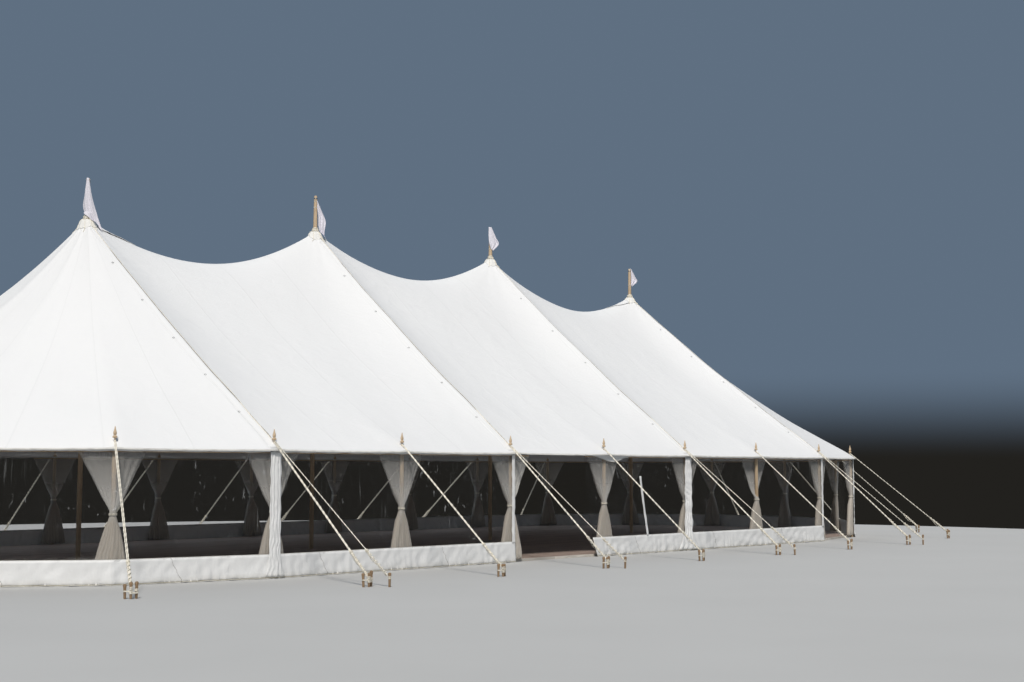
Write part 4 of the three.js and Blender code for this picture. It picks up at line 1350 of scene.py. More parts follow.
def pennant_grid(king):
    """A limp pennant that hangs in folds from its ties, clear of its pole, the crown and the canvas."""
    edges = through(PENNANTS[king]["levels"], PENNANT_ROWS)
    share = np.linspace(0, 1, PENNANT_COLUMNS)[None, :]
    down = np.linspace(0, 1, PENNANT_ROWS)[:, None]
    out, drop = (edges[:, :1, axis] * (1 - share) + edges[:, 1:, axis] * share for axis in (0, 1))
    tip = KING_TIPS[king]
    height = tip - drop
    folds = 0.022 * np.sin(TURN * (2.2 * share + 0.3 * down + 0.2 * king)) * (0.2 + 0.8 * down)
    folds = folds + 0.006 * ripples(41 + king, 5, share * 2, down * 2)
    sideways = folds - 0.06 * np.exp(-(out / 0.12) ** 2)
    rise, radius = np.array(CROWN_CLEARANCE).T
    clear = np.interp(height - CROWN_HEIGHTS[king], rise, radius)
    push = np.maximum(clear / np.hypot(out, sideways), 1.0)
    out, sideways = out * push, sideways * push
    x = KINGS_X[king] + out * PENNANT_DIRECTION[0] - sideways * PENNANT_DIRECTION[1]
    y = out * PENNANT_DIRECTION[1] + sideways * PENNANT_DIRECTION[0]
    return np.stack([x, y, np.maximum(height, roof_height(x, y) + 0.015)], -1)


class MARQUEE_OT_pennants(Operator):
    """Builds the four limp pennants and the loops that hold them to the king poles"""

    bl_idname = "marquee.pennants"
    bl_label = "Pennants"

    def execute(self, context):
        for king, pennant in enumerate(PENNANTS):
            name = f"pennant_{king + 1}"
            grid = pennant_grid(king)
            cloth = cloth_part(grid, PENNANT_CLOTH)
            flag = built(f"{name}_cloth", cloth, "flag_cloth", [name])
            loops = []
            for below in pennant["ties"]:
                radius = KING_TIP_RADIUS + 0.016 * below + 0.0045
                level = KING_TIPS[king] - below
                circle = coil_path((KINGS_X[king], 0), radius, level - 0.008, level + 0.008, 2.05)
                loops.append(rope_part(circle, 0.008, step=0.02))
            ties = roped(f"{name}_ties", loops)
        return {"FINISHED"}


# Ropes and stakes

PAIR_SPREAD = 0.011
TAIL_LENGTH = 0.62
TAIL_PITCH = 0.085
TAIL_RADIUS = 0.027
TAIL_DIAMETER = 0.013
LASHING_DIAMETER = 0.011
STORM_DIAMETER = 0.019
LONG_STEP = 0.042
STORM_ASIDE = 0.04
STAKE_SIDES = 12
STAKE_PROFILE = [(0.017, 0.0), (0.0195, 0.02), (0.021, 0.12), (0.0215, 0.18), (0.024, 0.205), (0.0265, 0.225),
                 (0.026, 0.243), (0.021, 0.254), (0.01, STAKE_HEIGHT)]
STAKE_GAPS = (0.085, -0.08)
BELT_BOTTOM = 0.036
BELT_TOP = 0.008
BELT_CLOTH = 0.003
BELT_PER_BAY = 32
BELT_LIFT = 0.006
BELT_PEAK_WIDTH = 0.16
BELT_END_GAP = 0.03
END_BAY_LENGTH = 2.85


def line_between(start, end, shift=0.0):
    """Both ends of a straight rope, shifted sideways in plan."""
    start, end = np.asarray(start, float), np.asarray(end, float)
    along = (end - start)[:2] / np.linalg.norm((end - start)[:2])
    sideways = np.array([-along[1], along[0], 0.0]) * shift
    return np.array([start + sideways, end + sideways])


def winding(path, radius, pitch, step=0.008):
    """Points of a line wound round a path."""
    points, where = evenly(path, step)
    first, second = frames_along(points)
    turn = TURN * where / pitch
    return points + radius * (np.cos(turn)[:, None] * first + np.sin(turn)[:, None] * second)


def tail_parts(start, foot, seed):
    """The lower end of a guy: the rope's tail wound back on itself, knotted above the stake."""
    draw = np.random.default_rng(seed)
    direction = (start - foot) / np.linalg.norm(start - foot)
    length = TAIL_LENGTH * draw.uniform(0.85, 1.1)
    low, high = foot + direction * 0.06, foot + direction * length
    parts = [rope_part(winding(ends, TAIL_RADIUS, TAIL_PITCH), TAIL_DIAMETER, step=0.024)
             for ends in ([low, high], [high, low])]
    knot = foot + direction * (length + 0.02)
    for turn in range(3):
        middle = knot + direction * 0.014 * turn
        parts.append(rope_part(winding([middle - direction * 0.012, middle + direction * 0.012],
                                       TAIL_RADIUS + 0.004, 0.016, 0.005), TAIL_DIAMETER, step=0.02))
    loose = [knot]
    for share in np.linspace(0.15, 1, 7):
        sag = 0.05 * math.sin(math.pi * share)
        loose.append(knot - direction * 0.3 * share + np.array([0.03 * share, 0.02 * share, -sag - 0.02]))
    parts.append(rope_part(loose, TAIL_DIAMETER * 0.8, step=0.03))
    return parts


def stake_windings(foot, turns, bottom, top):
    spread = 0.0205 + LASHING_DIAMETER / 2
    return rope_part(coil_path(foot[:2], spread, bottom, top, turns), LASHING_DIAMETER, step=0.02)


def stake_places(pole, foot):
    """A main stake and, beside it, two more, driven in line with the eave."""
    ox, oy = pole["out"]
    sideways, outwards = np.array([-oy, ox, 0.0]), np.array([ox, oy, 0.0])
    return [foot, *(foot + sideways * gap - outwards * abs(gap) / 2 for gap in STAKE_GAPS)]


def stake_band(first, last, height, turns):
    """A rope wound round two stakes together."""
    turn = np.arange(0, turns, 1 / 16) * TURN
    across = (last - first)[:2]
    around = np.stack([np.cos(turn), np.sin(turn)], -1)
    middle = np.where((around @ across)[:, None] > 0, last[:2], first[:2])
    spread = 0.0215 + LASHING_DIAMETER / 2
    rise = np.linspace(0, turns * LASHING_DIAMETER * 0.9, len(turn))
    return rope_part(np.column_stack([middle + spread * around, height + rise]), LASHING_DIAMETER, step=0.024)


def spike_lashing(pole, bottom, top, turns):
    radius = SPIKE_RADIUS + LASHING_DIAMETER / 2
    return rope_part(coil_path(pole["place"], radius, bottom, top, turns, points_per_turn=10),
                     LASHING_DIAMETER, step=0.012)


def stakes_object(name, places, seed):
    """Copies of one turned wooden stake, each driven a little differently."""
    draw = np.random.default_rng(seed)
    master = turned_piece(f"{name}_master", STAKE_PROFILE, STAKE_SIDES)
    stakes = []
    for number, foot in enumerate(places):
        scale = Matrix.Diagonal((1, 1, draw.uniform(0.82, 1.0), 1))
        lean = Matrix.Rotation(math.radians(draw.uniform(-3, 3)), 4, "X")
        spin = Matrix.Rotation(draw.uniform(0, TURN), 4, "Z")
        matrix = Matrix.Translation((foot[0], foot[1], 0)) @ lean @ spin @ scale
        stakes.append(copy_of(master, f"{name}_{number}", matrix))
    remove(master)
    return finished(join_objects(name, stakes), "stake_timber")


def eave_line(side, from_end=0.0):
    """Points round the hem's upper edge of one side: place, outward direction, height and share of a bay."""
    straight = side in ("front", "back")
    bays = POLES_PER_SIDE - 1 if straight else SEGMENTS_PER_END
    even = np.linspace(from_end, bays - from_end, bays * BELT_PER_BAY + 1)
    share = even % 1
    if straight:
        sign = -1 if side == "front" else 1
        out = np.stack([0 * even, np.full_like(even, sign)], -1)
        reach = HALF_WIDTH
        base = np.stack([even * POLE_SPACING - HALF_STRAIGHT, 0 * even], -1)
    else:
        sign = -1 if side == "left" else 1
        angle = even * END_STEP
        out = np.stack([sign * np.sin(angle), -np.cos(angle)], -1)
        reach = HALF_WIDTH * math.cos(END_STEP / 2) / np.cos((share - 0.5) * END_STEP)
        base = np.stack([np.full_like(even, sign * HALF_STRAIGHT), 0 * even], -1)
    overhang = OVERHANG - EAVE_SCALLOP * hump(share)
    place = base + out * np.reshape(reach + overhang, (-1, 1))
    height = EAVE_HEIGHT - EAVE_DIP * hump(share) - OVERHANG_SLOPE * overhang
    return place, out, height, share


def guy_height_at_hem():
    slope = (GUY_HEIGHT - STAKE_ROPE_HEIGHT) / (GUY_REACH - GUY_START)
    return GUY_HEIGHT - slope * (OVERHANG - GUY_START)


def belt_part(side, poles):
    """The webbing belt outside the valance, drawn up to each guy rope."""
    from_end = 0.0 if side in ("front", "back") else BELT_END_GAP / END_BAY_LENGTH
    place, out, height, _ = eave_line(side, from_end)
    peak = np.zeros(len(place))
    for pole in poles:
        at_hem = pole["place"] + pole["out"] * OVERHANG
        distance = np.linalg.norm(place - at_hem, axis=1)
        peak = np.maximum(peak, np.clip(1 - distance / BELT_PEAK_WIDTH, 0, 1) ** 1.6)
    lift = peak * (guy_height_at_hem() - height + BELT_TOP)
    ripple = 0.003 * ripples(51, 5, place[:, 0] / 0.3, place[:, 1] / 0.3)
    rows = []
    for share in (0.0, 0.33, 0.67, 1.0):
        z = height - BELT_BOTTOM + (BELT_BOTTOM - BELT_TOP) * share + lift * (0.25 + 0.75 * share)
        xy = place + out * (BELT_LIFT + (VALANCE_FLARE + ripple[:, None]) * (1 - share) + 0.002)
        rows.append(np.stack([xy[:, 0], xy[:, 1], z], -1))
    grid = np.array(rows)
    if side in ("back", "left"):
        grid = grid[:, ::-1]
    return cloth_part(grid, BELT_CLOTH)


def guy_parts(pole, seed):
    """One pole's pair of guy ropes, with the lashing at the spike and the windings at the stake."""
    sideways = math.copysign(STAKE_SPREAD, pole["place"][1]) if pole["king_line"] else 0.0
    width = bpy.context.scene.marquee_sizes.rope_width
    start = at_pole(pole, GUY_START, sideways * GUY_START / (GUY_REACH - GUY_START), GUY_HEIGHT)
    foot = at_pole(pole, GUY_REACH, sideways, STAKE_ROPE_HEIGHT)
    parts = [rope_part(line_between(start, foot, shift), width, step=LONG_STEP)
             for shift in (-PAIR_SPREAD, PAIR_SPREAD)]
    parts.append(spike_lashing(pole, 2.35, 2.374, 2.4))
    parts.extend(tail_parts(start, foot, seed))
    first, second, third = stake_places(pole, foot)
    parts.append(stake_windings(first, 4, 0.125, 0.175))
    parts.append(stake_windings(second, 3, 0.11, 0.145))
    parts.append(stake_band(first, second, 0.07, 3))
    parts.append(stake_band(third, first, 0.1, 2))
    return parts, [first, second, third]


def storm_parts(king):
    """One storm rope: round its king pole's collar, down both slopes and out to its stakes."""
    height = CROWN_HEIGHTS[king] + LASHING_ABOVE_CROWN
    centre = (KINGS_X[king], 0)
    coils = (0.06, height - 0.075, height + 0.03, 6.2), (0.078, height - 0.06, height - 0.006, 3.3, 1.3)
    parts = [rope_part(coil_path(centre, *coil), STORM_DIAMETER, 0.022) for coil in coils]
    places = []
    for pole in POLES:
        if not pole["king_line"] or abs(pole["place"][0] - KINGS_X[king]) > 0.01:
            continue
        side = math.copysign(1, pole["place"][1])
        top = np.array([KINGS_X[king], side * 0.08, height - 0.03])
        y = side * np.linspace(0.12, 0.3, 6)
        on_cap = np.stack([KINGS_X[king] + 0 * y, y, cap_height(king, KINGS_X[king], y) + 0.014], -1)
        down = np.linspace(0.45, HALF_WIDTH - 0.7, 40)
        aside = STORM_ASIDE * smooth_step(down, 0.4, 1.2) * fading(down, HALF_WIDTH - 1.4, HALF_WIDTH - 0.5)
        laid = on_canvas(KINGS_X[king] + aside, side * down, 0.005 + STORM_DIAMETER / 2)
        spike = at_pole(pole, -STORM_START, 0, STORM_HEIGHT)
        parts.append(rope_part([top, *on_cap, *laid, spike], STORM_DIAMETER, step=LONG_STEP))
        parts.append(spike_lashing(pole, 2.376, 2.394, 1.6))
        sideways = -side * STAKE_SPREAD
        start = at_pole(pole, STORM_START, sideways * STORM_START / (STORM_REACH - STORM_START), STORM_HEIGHT)
        foot = at_pole(pole, STORM_REACH, sideways, STAKE_ROPE_HEIGHT)
        parts.append(rope_part([start, foot], STORM_DIAMETER, step=LONG_STEP))
        parts.extend(tail_parts(start, foot, 80 + king))
        parts.append(stake_windings(foot, 4, 0.125, 0.175))
        places.append(foot)
    return parts, places


class MARQUEE_OT_guy_ropes(Operator):
    """Builds the guy ropes, their stakes and the webbing belt round the eave"""

    bl_idname = "marquee.guy_ropes"
    bl_label = "Guy Ropes"

    def execute(self, context):
        for side in ("front", "right", "back", "left"):
            poles = [pole for pole in POLES if pole["name"].startswith(side)]
            parts, places = [], []
            for number, pole in enumerate(poles):
                ropes, feet = guy_parts(pole, 60 + number)
                parts.extend(ropes)
                places.extend(feet)
            name = f"{side}_guys"
            roped(f"{name}_ropes", parts, replaces=[name])
            stakes_object(f"{name}_stakes", places, 70)
            built(f"{name}_belt", belt_part(side, poles), "webbing", slot="rope")
        return {"FINISHED"}


class MARQUEE_OT_storm_ropes(Operator):
    """Builds the storm ropes over the roof, lashed round the king poles, and their stakes"""

    bl_idname = "marquee.storm_ropes"
    bl_label = "Storm Ropes"

    def execute(self, context):
        for king in range(KING_COUNT):
            parts, places = storm_parts(king)
            name = f"storm_rope_{king + 1}"
            roped(f"{name}_line", parts, replaces=[name])
            stakes_object(f"{name}_stakes", places, 90 + king)
        return {"FINISHED"}


# Walls

RUN_GAP = 0.00035
SKIRT_COLUMN = 0.038
SKIRT_ROWS = 9
SEAM_AFTER_POLE = 0.97
SEAM_LEAN = 0.2
SEAM_CORD = 0.006
LOOSE_CORNER = 0.15
SLACK_SPAN = (-0.45, 0.85)
SLACK_DEPTH = 0.11
SLACK_HEM = 0.009
WALL_CLOTH = 0.003
BAND_COLUMN = 0.05
STRIP_COLUMNS = 13
STRIP_ROWS = 48
BUNCH_COLUMNS = 33
# Bunched joints by pole: half width at heights up the strip, and how far the cloth stands out
BUNCHES = {
    0: ([(0.03, 0.2), (0.2, 0.13), (0.45, 0.105), (2.16, 0.1)], 0.008),
    4: ([(0.03, 0.42), (0.2, 0.27), (0.45, 0.17), (1.0, 0.135), (1.6, 0.14), (2.16, 0.12)], 0.016),
}
HEM_RADIUS = 0.006
PIPING_RADIUS = 0.005
LEANING_ALONG = (1.45, 1.21)
LEANING_HEIGHTS = (0.4, 1.75)
LEANING_SIZE = (0.07, 1.38)
TIE_WIDTH = 0.035
TIE_BOTTOM = 2.188


def run_path(run, offset, step):
    """Places round the eave along a run of wall, with their outward directions and distances."""
    before, after = run["past"]
    first, last = run["start"], run["end"]
    stops = [(index, 0.0) for index in range(first + 1, last)]
    stops = ([(first, -before), (first, 0.0)] if before else [(first, RUN_GAP)]) + stops
    stops += [(last, 0.0), (last, after)] if after else [(last, -RUN_GAP)]
    corners = np.array([eave_point(index, along, offset) for index, along in stops])
    places, outs = [], []
    for start, end in zip(corners[:-1], corners[1:]):
        length = np.linalg.norm(end - start)
        along = (end - start) / length
        count = max(1, math.ceil(length / step))
        for k in range(count):
            places.append(start + (end - start) * k / count)
            outs.append((along[1], -along[0]))
    places.append(corners[-1])
    outs.append(outs[-1])
    places, outs = np.array(places), np.array(outs)
    outs[1:-1] = outs[:-2] + outs[1:-1]
    outs /= np.linalg.norm(outs, axis=1, keepdims=True)
    return places, outs, distances(places)


def standing_grid(places, outs, push, height):
    """A grid from the bottom up: push and height hold a row for each level."""
    x, y = (places[None, :, axis] + outs[None, :, axis] * push for axis in (0, 1))
    return np.stack([x, y, np.broadcast_to(height, push.shape)], -1)


def fanned(grid, run, where, outs, shift):
    """A grid whose loose end, if its run has one, is shifted along the wall."""
    if run["past"][0] > DOOR_EDGE:
        shift = shift * np.clip(1 - where / LOOSE_END, 0, 1)
        grid[..., 0] += shift * outs[None, :, 1]
        grid[..., 1] -= shift * outs[None, :, 0]
    return grid


def creases(seed, count, *coordinates):
    """Smooth hollows with sharp ridges between them, at most 1."""
    return 1 - 2.4 * np.abs(ripples(seed, count, *coordinates))


def skirt_grid(run, seed):
    """The wall skirt: fixed at its top seam, with slanting creases and soft folds that widen to the hem."""
    sizes = bpy.context.scene.marquee_sizes
    places, outs, where = run_path(run, WALL_OFFSET, SKIRT_COLUMN)
    warp = where / sizes.skirt_fold + 0.55 * ripples(seed, 5, where / 1.3)
    folds = np.sin(TURN * warp) * (0.5 + 0.5 * ripples(seed + 1, 4, where / 1.9))
    levels = np.linspace(0, 1, SKIRT_ROWS)[:, None]
    down = 1 - levels
    slant, counter = where[None, :] / 0.42 + 1.1 * down, where[None, :] / 0.2 - 0.8 * down
    sharp = creases(seed + 2, 5, slant, down * 0.8) + 0.5 * creases(seed + 4, 5, counter)
    soft = 0.5 * (0.15 + 0.85 * down) * folds[None, :]
    push = sizes.skirt_swell * (soft + 0.42 * (0.3 + 0.7 * down) * sharp)
    push = push + 0.012 * down
    flare = 0
    for index in run["joints"]:
        at_joint = np.linalg.norm(places - pole_at(index)["place"], axis=1)
        flare = flare + np.exp(-(at_joint / 0.12) ** 2)
    push = push + 0.02 * flare * down ** 2
    hem = 0.008 * ripples(seed + 3, 5, where / 0.5)
    height = SKIRT_BOTTOM + (SKIRT_TOP - SKIRT_BOTTOM) * levels + np.maximum(hem, 0)[None, :] * down ** 3
    return fanned(standing_grid(places, outs, push, height), run, where, outs, -LOOSE_CORNER * down)


def skirt_seams(run, grid):
    """Dark cords in the leaning seams between the skirt's panels, one in each bay."""
    raised = grid + grid_normals(grid) * 0.004
    shift = np.linspace(SEAM_LEAN / SKIRT_COLUMN, 0, SKIRT_ROWS).round().astype(int)
    parts = []
    for index in range(run["start"], run["end"]):
        top = eave_point(index, SEAM_AFTER_POLE, WALL_OFFSET)
        column = int(np.argmin(np.linalg.norm(grid[-1, :, :2] - top, axis=1)))
        columns = np.minimum(column + shift, grid.shape[1] - 2)
        path = [raised[row, at] for row, at in enumerate(columns)]
        parts.append(rope_part(path, SEAM_CORD, step=0.05))
    return parts


def slack(run, where):
    """How far the top band hangs down beside the doorway, where the wall's end is left loose."""
    before = run["past"][0]
    if before <= DOOR_EDGE:
        return 0 * where
    share = (where - before - SLACK_SPAN[0]) / (SLACK_SPAN[1] - SLACK_SPAN[0])
    return SLACK_DEPTH * np.sin(math.pi * np.clip(share, 0, 1)) ** 2


def band_grid(run, seed):
    """The wall's top band, laced under the eave and slightly slack between its ties."""
    places, outs, where = run_path(run, WALL_OFFSET + 0.002, BAND_COLUMN)
    levels = np.linspace(0, 1, 5)[:, None]
    crumple = 0.005 * ripples(seed, 6, where / 0.3) + 0.004 * ripples(seed + 1, 5, where / 0.12)
    push = crumple[None, :] * (1 - 0.6 * levels)
    bottom = BAND_BOTTOM - slack(run, where)
    height = bottom + (BAND_TOP - bottom) * levels + 0.006 * ripples(seed + 2, 5, where / 0.7)[None, :]
    return standing_grid(places, outs, push, np.minimum(height, BAND_TOP))


def slack_hem(run, grid):
    """The rolled hem along the slack stretch of the top band."""
    hanging = grid[0][slack(run, run_path(run, WALL_OFFSET + 0.002, BAND_COLUMN)[2]) > 0.003]
    return [edge_tube(hanging, SLACK_HEM)] if len(hanging) else []


def strip_grid(run, index, seed):
    """A joint strip: two edges of wall lapped and laced at a pole, with slanting crinkles."""
    if index % len(POLES) in BUNCHES:
        return bunch_grid(index, seed)
    before, after = run["past"]
    low = 0.0015 if index == run["start"] and not before else -STRIP_HALF_WIDTH
    high = -0.0015 if index == run["end"] and not after else STRIP_HALF_WIDTH
    across = np.linspace(low, high, STRIP_COLUMNS)
    push_out = WALL_OFFSET + 0.007
    places = np.array([eave_point(index, along, push_out) for along in across])
    out = pole_at(index)["out"]
    outs = np.broadcast_to(out, places.shape)
    levels = np.linspace(0, 1, STRIP_ROWS)[:, None]
    height = SKIRT_TOP - 0.03 + (BAND_BOTTOM + 0.03 - SKIRT_TOP + 0.03) * levels
    share = across[None, :] / STRIP_HALF_WIDTH
    crinkle = np.sin(TURN * (height / 0.16 + 0.5 * share + 0.4 * ripples(seed, 4, height / 0.8)))
    push = 0.0035 * crinkle + 0.006 * np.exp(-((share - 0.1) / 0.16) ** 2)
    push = push + 0.004 * ripples(seed + 1, 5, height / 0.35, share / 2)
    return standing_grid(places, outs, push, height)


def bunch_grid(index, seed):
    """A wide joint where the wall's spare cloth is bunched at a pole and spreads over the skirt."""
    half_widths, lift = BUNCHES[index % len(POLES)]
    height = np.linspace(0.03, BAND_BOTTOM + 0.02, STRIP_ROWS)
    half = np.interp(height, *np.array(half_widths).T)
    half = half * (1 + 0.08 * ripples(seed, 4, height / 0.4))
    share = np.linspace(-1, 1, BUNCH_COLUMNS)
    up, across = height[:, None], share[None, :]
    upright = np.sin(TURN * (1.9 * across + 0.35 * ripples(seed + 1, 5, up / 0.5)))
    cross = creases(seed + 2, 6, up / 0.14 + 0.8 * across, across / 1.5)
    push = lift * (1.1 + 0.7 * upright + 0.5 * cross) * (1 - 0.6 * across ** 6)
    push = push + 0.02 * smooth_step(0.5 - height, 0.0, 0.5)[:, None]
    out = pole_at(index)["out"]
    rows = []
    for row, (level, reach) in enumerate(zip(height, half)):
        places = np.array([eave_point(index, along, WALL_OFFSET + 0.005) for along in share * reach])
        rows.append(np.column_stack([places + push[row][:, None] * out, np.full(len(share), level)]))
    return np.array(rows)


def edge_tube(grid_row, radius, step=0.03):
    """A round cord sewn into an edge."""
    points, _ = evenly(grid_row, step)
    return tube_part(points, [(TURN * k / 6, radius) for k in range(6)])


def tie_part(pole):
    """A webbing tie from the top band round the side pole."""
    angle = np.linspace(-2.5, 2.5, 22)
    reach = POLE_RADIUS + 0.004
    stretch = np.clip(np.abs(angle) - 2.2, 0, 1)
    outwards = -np.cos(angle) * reach + stretch * 0.12
    sideways = np.sin(angle) * reach * (1 - stretch)
    rows = [at_pole(pole, outwards, sideways, np.full_like(angle, TIE_BOTTOM + TIE_WIDTH * rise)).T
            for rise in (0.0, 0.5, 1.0)]
    return cloth_part(np.array(rows)[:, ::-1], 0.002)


def leaning_strip():
    """A loose strip of wall fabric that leans against the window beside the front doorway."""
    height = np.linspace(*LEANING_HEIGHTS, 30)
    along = np.interp(height, LEANING_HEIGHTS, LEANING_ALONG) + 0.012 * np.sin(3 * height)
    across = np.linspace(-0.5, 0.5, 7)
    push = PANE_OFFSET + 0.014 + 0.004 * ripples(190, 5, height[:, None] / 0.3, across[None, :])
    rows = []
    for row, (level, middle) in enumerate(zip(height, along)):
        places = [eave_point(RUNS[0]["start"], middle + LEANING_SIZE[0] * share, push[row, column])
                  for column, share in enumerate(across)]
        rows.append(np.column_stack([places, np.full(len(across), level)]))
    return np.array(rows)


class MARQUEE_OT_walls(Operator):
    """Builds the wall skirts, top bands, joint strips and ties"""

    bl_idname = "marquee.walls"
    bl_label = "Walls"

    def execute(self, context):
        for number, run in enumerate(RUNS):
            name = run["name"]
            seed = 100 + 20 * number
            frame_name, band_name = f"{name}_wall_frame", f"{name}_wall_band"
            skirt, band = skirt_grid(run, seed), band_grid(run, seed + 5)
            body = built(f"{name}_wall_skirt", cloth_part(skirt, WALL_CLOTH), "wall_fabric", [frame_name])
            hem = edge_tube(skirt[0] + [0, 0, HEM_RADIUS * 0.2], HEM_RADIUS)
            edges = [hem, edge_tube(skirt[-1], PIPING_RADIUS), *slack_hem(run, band)]
            cords = roped(f"{name}_wall_cords", edges, "webbing", smooth=80)
            seams = roped(f"{name}_skirt_seams", skirt_seams(run, skirt), "dark_cord", smooth=80,
                          slot="wall_fabric")
            length = run_path(run, WALL_OFFSET, 0.5)[2][-1]
            top = built(band_name, cloth_part(band, WALL_CLOTH), "wall_fabric")
            poles = [pole_at(index) for index in range(run["start"], run["end"] + 1)]
            ties = roped(f"{name}_wall_ties", [tie_part(pole) for pole in poles], "webbing")
            for index in run["joints"]:
                grid = strip_grid(run, index, seed + index)
                label = f"{name}_wall_strip_{index % len(POLES)}"
                strip = built(label, cloth_part(grid, WALL_CLOTH), "wall_fabric")
        strip = built("front_wall_loose_strip", cloth_part(leaning_strip(), WALL_CLOTH), "wall_fabric")
        return {"FINISHED"}


# Windows

FILM_THICKNESS = 0.0012
FILM_COLUMN = 0.11
FILM_ROWS = 13
FILM_WAVE = 0.004
LOOSE_FAN = 0.28


def film_grid(run, seed):
    """A clear window sheet: upright ripples from its joints, and slack swells in between."""
    places, outs, where = run_path(run, PANE_OFFSET, FILM_COLUMN)
    levels = np.linspace(0, 1, FILM_ROWS)[:, None]
    height = PANE_BOTTOM + (PANE_TOP - PANE_BOTTOM) * levels
    push = FILM_WAVE * ripples(seed, 7, where[None, :] / 0.55, height / 2.4)
    push = push + 0.5 * FILM_WAVE * ripples(seed + 1, 6, where[None, :] / 0.28, height / 1.5)
    push = push * np.sin(math.pi * np.clip(levels, 0.02, 0.98)) ** 0.5
    return fanned(standing_grid(places, outs, push, height), run, where, outs, LOOSE_FAN * levels)


class MARQUEE_OT_windows(Operator):
    """Builds the clear window sheets"""

    bl_idname = "marquee.windows"
    bl_label = "Window Film"

    def execute(self, context):
        for number, run in enumerate(RUNS):
            name = run["name"]
            sheet = cloth_part(film_grid(run, 200 + 10 * number), FILM_THICKNESS)
            film = built(f"{name}_window_film", sheet, "clear_film", [f"{name}_clear_wall"])
            length = run_path(run, PANE_OFFSET, 0.5)[2][-1]
        return {"FINISHED"}


# Drapes

DRAPE_TOP = 2.169
DRAPE_BOTTOM = 0.065
DRAPE_COLUMNS = 92
DRAPE_ROWS = 19
DRAPE_CLOTH = 0.0014
DRAPE_HEIGHTS = [DRAPE_BOTTOM, 0.3, 0.6, 0.9, 1.06, 1.12, TIE_HEIGHT, 1.19, 1.3, 1.5, 1.8, DRAPE_TOP]
DRAPE_HALF_WIDTHS = [0.33, 0.295, 0.225, 0.145, 0.1, 0.076, 0.058, 0.07, 0.128, 0.23, 0.38, 0.58]
DRAPE_PLEAT_DEPTHS = [0.02, 0.018, 0.014, 0.01, 0.007, 0.004, 0.003, 0.004, 0.009, 0.014, 0.016, 0.014]
DRAPE_CENTRE = -0.016
DRAPE_HALF_DEPTH = 0.07
DRAPE_LIMIT = 0.062
DRAPES_BEHIND = {5: (-0.075, 0.018)}
WAIST_RADIUS = 0.056
WAIST_REACH = 0.13
TIE_BAND_RADIUS = 0.068


def drape_grid(seed, behind=None):
    """A drape hung all round its pole: wide at the rail, drawn in at the tie and flared to the floor. behind
    is the middle and half depth of an upper part that hangs behind the pole."""
    pleats = bpy.context.scene.marquee_sizes.drape_pleats
    draw = np.random.default_rng(seed)
    height = np.linspace(DRAPE_BOTTOM, DRAPE_TOP, DRAPE_ROWS)[:, None]
    height = height + 0.24 * (TIE_HEIGHT - height) * np.exp(-((height - TIE_HEIGHT) / 0.35) ** 2)
    half = np.interp(height, DRAPE_HEIGHTS, DRAPE_HALF_WIDTHS)
    depth = np.interp(height, DRAPE_HEIGHTS, DRAPE_PLEAT_DEPTHS)
    half = half * draw.uniform(0.92, 1.0)
    turn = np.linspace(-math.pi, math.pi, DRAPE_COLUMNS, endpoint=False)[None, :]
    sine, cosine = np.sin(turn), np.cos(turn)
    lower = np.clip((TIE_HEIGHT - height) / TIE_HEIGHT, 0, 1)
    upper = np.clip((height - TIE_HEIGHT) / (DRAPE_TOP - TIE_HEIGHT), 0, 1)
    swirl = draw.uniform(0.5, 0.9) * draw.choice([-1, 1])
    phase = draw.uniform(0, TURN) + 0.9 * ripples(seed, 4, cosine, sine, height)
    pleat = np.cos(2 * pleats * (turn + swirl * lower) + phase)
    pleat = 0.5 * (pleat - 1) + 0.35 * ripples(seed + 1, 4, 1.5 * cosine, 1.5 * sine, height)
    centre, half_depth = DRAPE_CENTRE, DRAPE_HALF_DEPTH
    if behind:
        aside = smooth_step(height, TIE_HEIGHT, TIE_HEIGHT + 0.12)
        centre = centre + (behind[0] - centre) * aside
        half_depth = half_depth + (behind[1] - half_depth) * aside
    flat_sideways = half * np.arcsin(0.97 * sine) / math.asin(0.97)
    flat_out = centre + (half_depth + depth * pleat * 1.2) * np.tanh(3 * cosine)
    waist = np.exp(-((height - TIE_HEIGHT) / WAIST_REACH) ** 2)
    gathered = (WAIST_RADIUS + depth * pleat) * waist
    sideways = flat_sideways * (1 - waist) + gathered * sine
    outwards = flat_out * (1 - waist) + gathered * cosine
    sideways = sideways + draw.uniform(-0.05, 0.05) * lower + draw.uniform(-0.03, 0.03) * upper ** 2
    near_pole = np.hypot(sideways, outwards)
    clear = POLE_RADIUS + 0.006
    push = np.where(near_pole < clear, clear / np.maximum(near_pole, 1e-6), 1.0)
    return sideways * push, np.clip(outwards * push, -0.1, DRAPE_LIMIT), height[:, 0]


def bent_round(index, sideways, outwards, height):
    """Puts a drape's points at its pole, bent with the eave from one bay into the next."""
    pole = pole_at(index)
    along_before, out_before = bay_after(index - 1)
    along_after, out_after = bay_after(index)
    share = smooth_step(sideways, -0.12, 0.12)[..., None]
    before, after = (pole["place"] + sideways[..., None] * along + outwards[..., None] * out
                     for along, out in ((along_before, out_before), (along_after, out_after)))
    plan = before * (1 - share) + after * share
    return np.concatenate([plan, np.broadcast_to(height[:, None, None], (*sideways.shape, 1))], -1)


def tie_band(index):
    """The rope tie-back round a drape's waist."""
    parts = []
    for turn, rise in enumerate((-0.012, 0.0, 0.012)):
        low = TIE_HEIGHT + rise
        path = coil_path(pole_at(index)["place"], TIE_BAND_RADIUS, low, low + 0.006, 1.02, turn)
        parts.append(rope_part(path, 0.012, step=0.02))
    return parts


